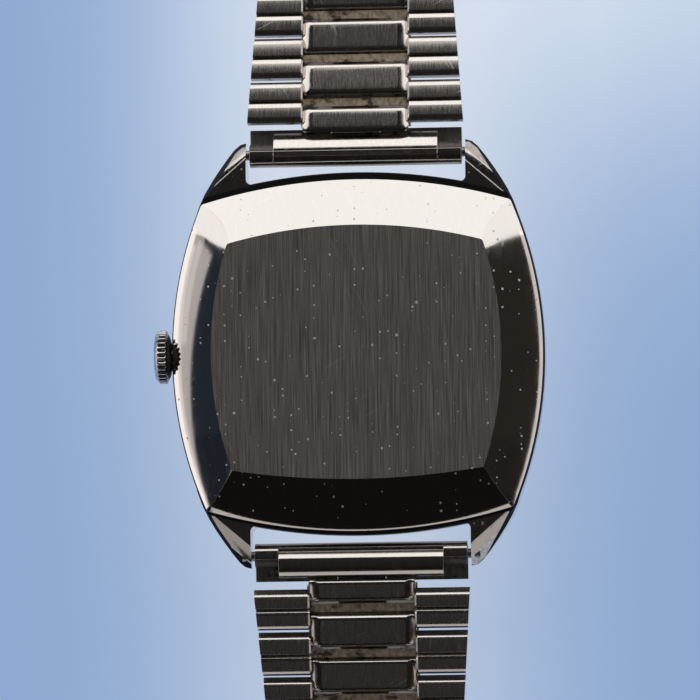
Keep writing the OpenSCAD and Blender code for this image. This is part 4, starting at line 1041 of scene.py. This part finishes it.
def make_world():
    """Pale backdrop for the camera, and a dark room with a dim card overhead for reflections."""
    world = bpy.data.worlds.new("studio")
    bpy.context.scene.world = world
    world.use_nodes = True
    tree = world.node_tree
    tree.nodes.clear()
    path = node(tree, "ShaderNodeLightPath")
    way = node(tree, "ShaderNodeSeparateXYZ", {0: node(tree, "ShaderNodeTexCoord").outputs["Generated"]})
    overhead = span(tree, way.outputs[2], *CARD_HEIGHTS, 0.0, 1.0)
    forward = span(tree, way.outputs[1], -0.5, 0.5, *CARD_LEVELS)
    level = maths(tree, "MULTIPLY", overhead, forward)
    level = maths(tree, "ADD", level, ROOM_LEVEL)
    fill = node(tree, "ShaderNodeBackground", {"Color": (0.9, 0.95, 1.0, 1), "Strength": 0.35})
    dim = node(tree, "ShaderNodeBackground", {"Color": (1.0, 0.93, 0.88, 1), "Strength": level})
    shown = node(tree, "ShaderNodeBackground", {"Color": (*SKY_LIGHT, 1), "Strength": 1.0})
    room = node(tree, "ShaderNodeMixShader",
                {0: path.outputs["Is Glossy Ray"], 1: fill.outputs[0], 2: dim.outputs[0]})
    final = node(tree, "ShaderNodeMixShader",
                 {0: path.outputs["Is Camera Ray"], 1: room.outputs[0], 2: shown.outputs[0]})
    out = node(tree, "ShaderNodeOutputWorld")
    tree.links.new(final.outputs[0], out.inputs[0])


make_world()


def softbox(name, middle, target, width, height, radiance, colour=(1, 1, 1)):
    """A rectangular lamp that looks at a target, given by the radiance of its face."""
    data = bpy.data.lights.new(name, "AREA")
    data.shape = "RECTANGLE"
    data.size = width
    data.size_y = height
    data.energy = radiance * math.pi * width * height
    data.color = colour
    lamp = bpy.data.objects.new(name, data)
    bpy.context.scene.collection.objects.link(lamp)
    lamp.location = middle
    aim = Vector(target) - Vector(middle)
    lamp.rotation_mode = "QUATERNION"
    lamp.rotation_quaternion = aim.to_track_quat("-Z", "Y")
    lamp.visible_camera = False
    return lamp


def wall_lamp(name, turn, low, high, width, radiance, colour, distance=0.6, roll=0.0):
    """An upright softbox at a compass turn from +X, between two angles above the floor."""
    a, foot, head = math.radians(turn), math.radians(low), math.radians(high)
    z0, z1 = distance * math.tan(foot), distance * math.tan(head)
    middle = (distance * math.cos(a), distance * math.sin(a), (z0 + z1) / 2)
    lamp = softbox(name, middle, (0, 0, (z0 + z1) / 2), width, z1 - z0, radiance, colour)
    lamp.rotation_quaternion = lamp.rotation_quaternion @ Quaternion((0, 0, 1), math.radians(roll))


WARM = (1.0, 0.965, 0.945)
PINK = (1.0, 0.93, 0.905)
CREAM = (1.0, 0.99, 0.975)
CARD_BLUE = (0.42, 0.62, 1.0)
CARD_BROWN = (1.0, 0.86, 0.72)

# Lamps round the watch: compass turn, lower and upper angle above the floor, width, radiance, colour,
# distance and roll. Reflections add up only lamps at different distances, so those that overlap differ.
WALL_LAMPS = {
    "softbox_twelve": (90, 0.5, 40, 0.62, 1.5, (1.0, 1.0, 0.985), 0.5),
    "strip_left_0": (188, -9.0, 8.2, 0.69, 0.42, PINK, 0.62, -15),
    "strip_left_1": (188, -9.0, 8.9, 0.69, 0.20, PINK, 0.61, -15),
    "strip_left_2": (188, 0.2, 5.0, 0.66, 0.95, WARM, 0.60),
    "strip_left_3": (186, 5.0, 6.6, 0.56, 0.42, WARM, 0.59),
    "strip_left_4": (167, 6.6, 9.0, 0.17, 0.25, PINK, 0.58),
    "card_left": (188, 5.5, 32, 0.66, 0.013, CARD_BLUE),
    "card_left_middle": (179, 5.5, 32, 0.47, 0.011, CARD_BLUE, 0.61),
    "card_left_top": (174, 5.5, 32, 0.35, 0.012, CARD_BLUE, 0.62),
    "card_right": (352, 10.6, 30, 0.7, 0.007, CARD_BROWN),
    "card_right_middle": (0, 10.6, 30, 0.5, 0.007, CARD_BROWN, 0.61),
    "card_right_top": (5, 10.6, 30, 0.4, 0.007, CARD_BROWN, 0.62),
    "strip_right": (352, 0.2, 10.4, 0.7, 1.0, PINK),
    "strip_six": (270, 0.2, 12, 0.5, 0.7, PINK),
    "wrap_left": (140.5, 0.5, 39, 0.333, 1.42, CREAM, 0.5),
    "wrap_right": (40.0, 0.5, 39, 0.325, 1.42, CREAM, 0.5),
    "card_six_left": (229, 14, 34, 0.20, 0.45, PINK),
    "card_end_left": (206, 22, 34, 0.20, 0.7, PINK),
    "card_end_right": (337, 31, 40, 0.20, 0.7, PINK),
    "card_six_right": (311, 14, 34, 0.20, 0.55, PINK),
}
for name, settings in WALL_LAMPS.items():
    wall_lamp(name, *settings)
softbox("under_left", (-0.3, 0.2, -0.5), (0, 0, 0), 0.5, 0.5, 1.2)
softbox("under_right", (0.35, -0.25, -0.5), (0, 0, 0), 0.4, 0.4, 0.9)


# Camera: distance in metres, width of the view from 700 px at 12.2 px per mm, lean in degrees, roll as
# a slope, and the point it looks at in millimetres
CAMERA_FAR = 0.6
VIEW_W = 700 / 12.2
CAMERA_LEAN = (3.4, -3.0)
CAMERA_ROLL = 0.0141
CAMERA_TARGET = (-0.74, 0.37, 4.0)
SENSOR_W = 36.0


def make_camera():
    """Camera far above the case back, tipped and rolled a little as in the photograph."""
    data = bpy.data.cameras.new("camera")
    data.sensor_width = SENSOR_W
    data.lens = SENSOR_W * CAMERA_FAR / (VIEW_W * MM)
    data.clip_start, data.clip_end = 0.05, 20.0
    camera = bpy.data.objects.new("camera", data)
    bpy.context.scene.collection.objects.link(camera)
    back = Vector((*(math.tan(math.radians(lean)) for lean in CAMERA_LEAN), 1)).normalized()
    up = Vector((CAMERA_ROLL, 1, 0))
    right = up.cross(back).normalized()
    up = back.cross(right)
    turn = Matrix((right, up, back)).transposed().to_4x4()
    stand = Vector(CAMERA_TARGET) * MM + back * CAMERA_FAR
    camera.matrix_world = Matrix.Translation(stand) @ turn
    bpy.context.scene.camera = camera


make_camera()
bpy.context.scene.view_settings.view_transform = "Standard"
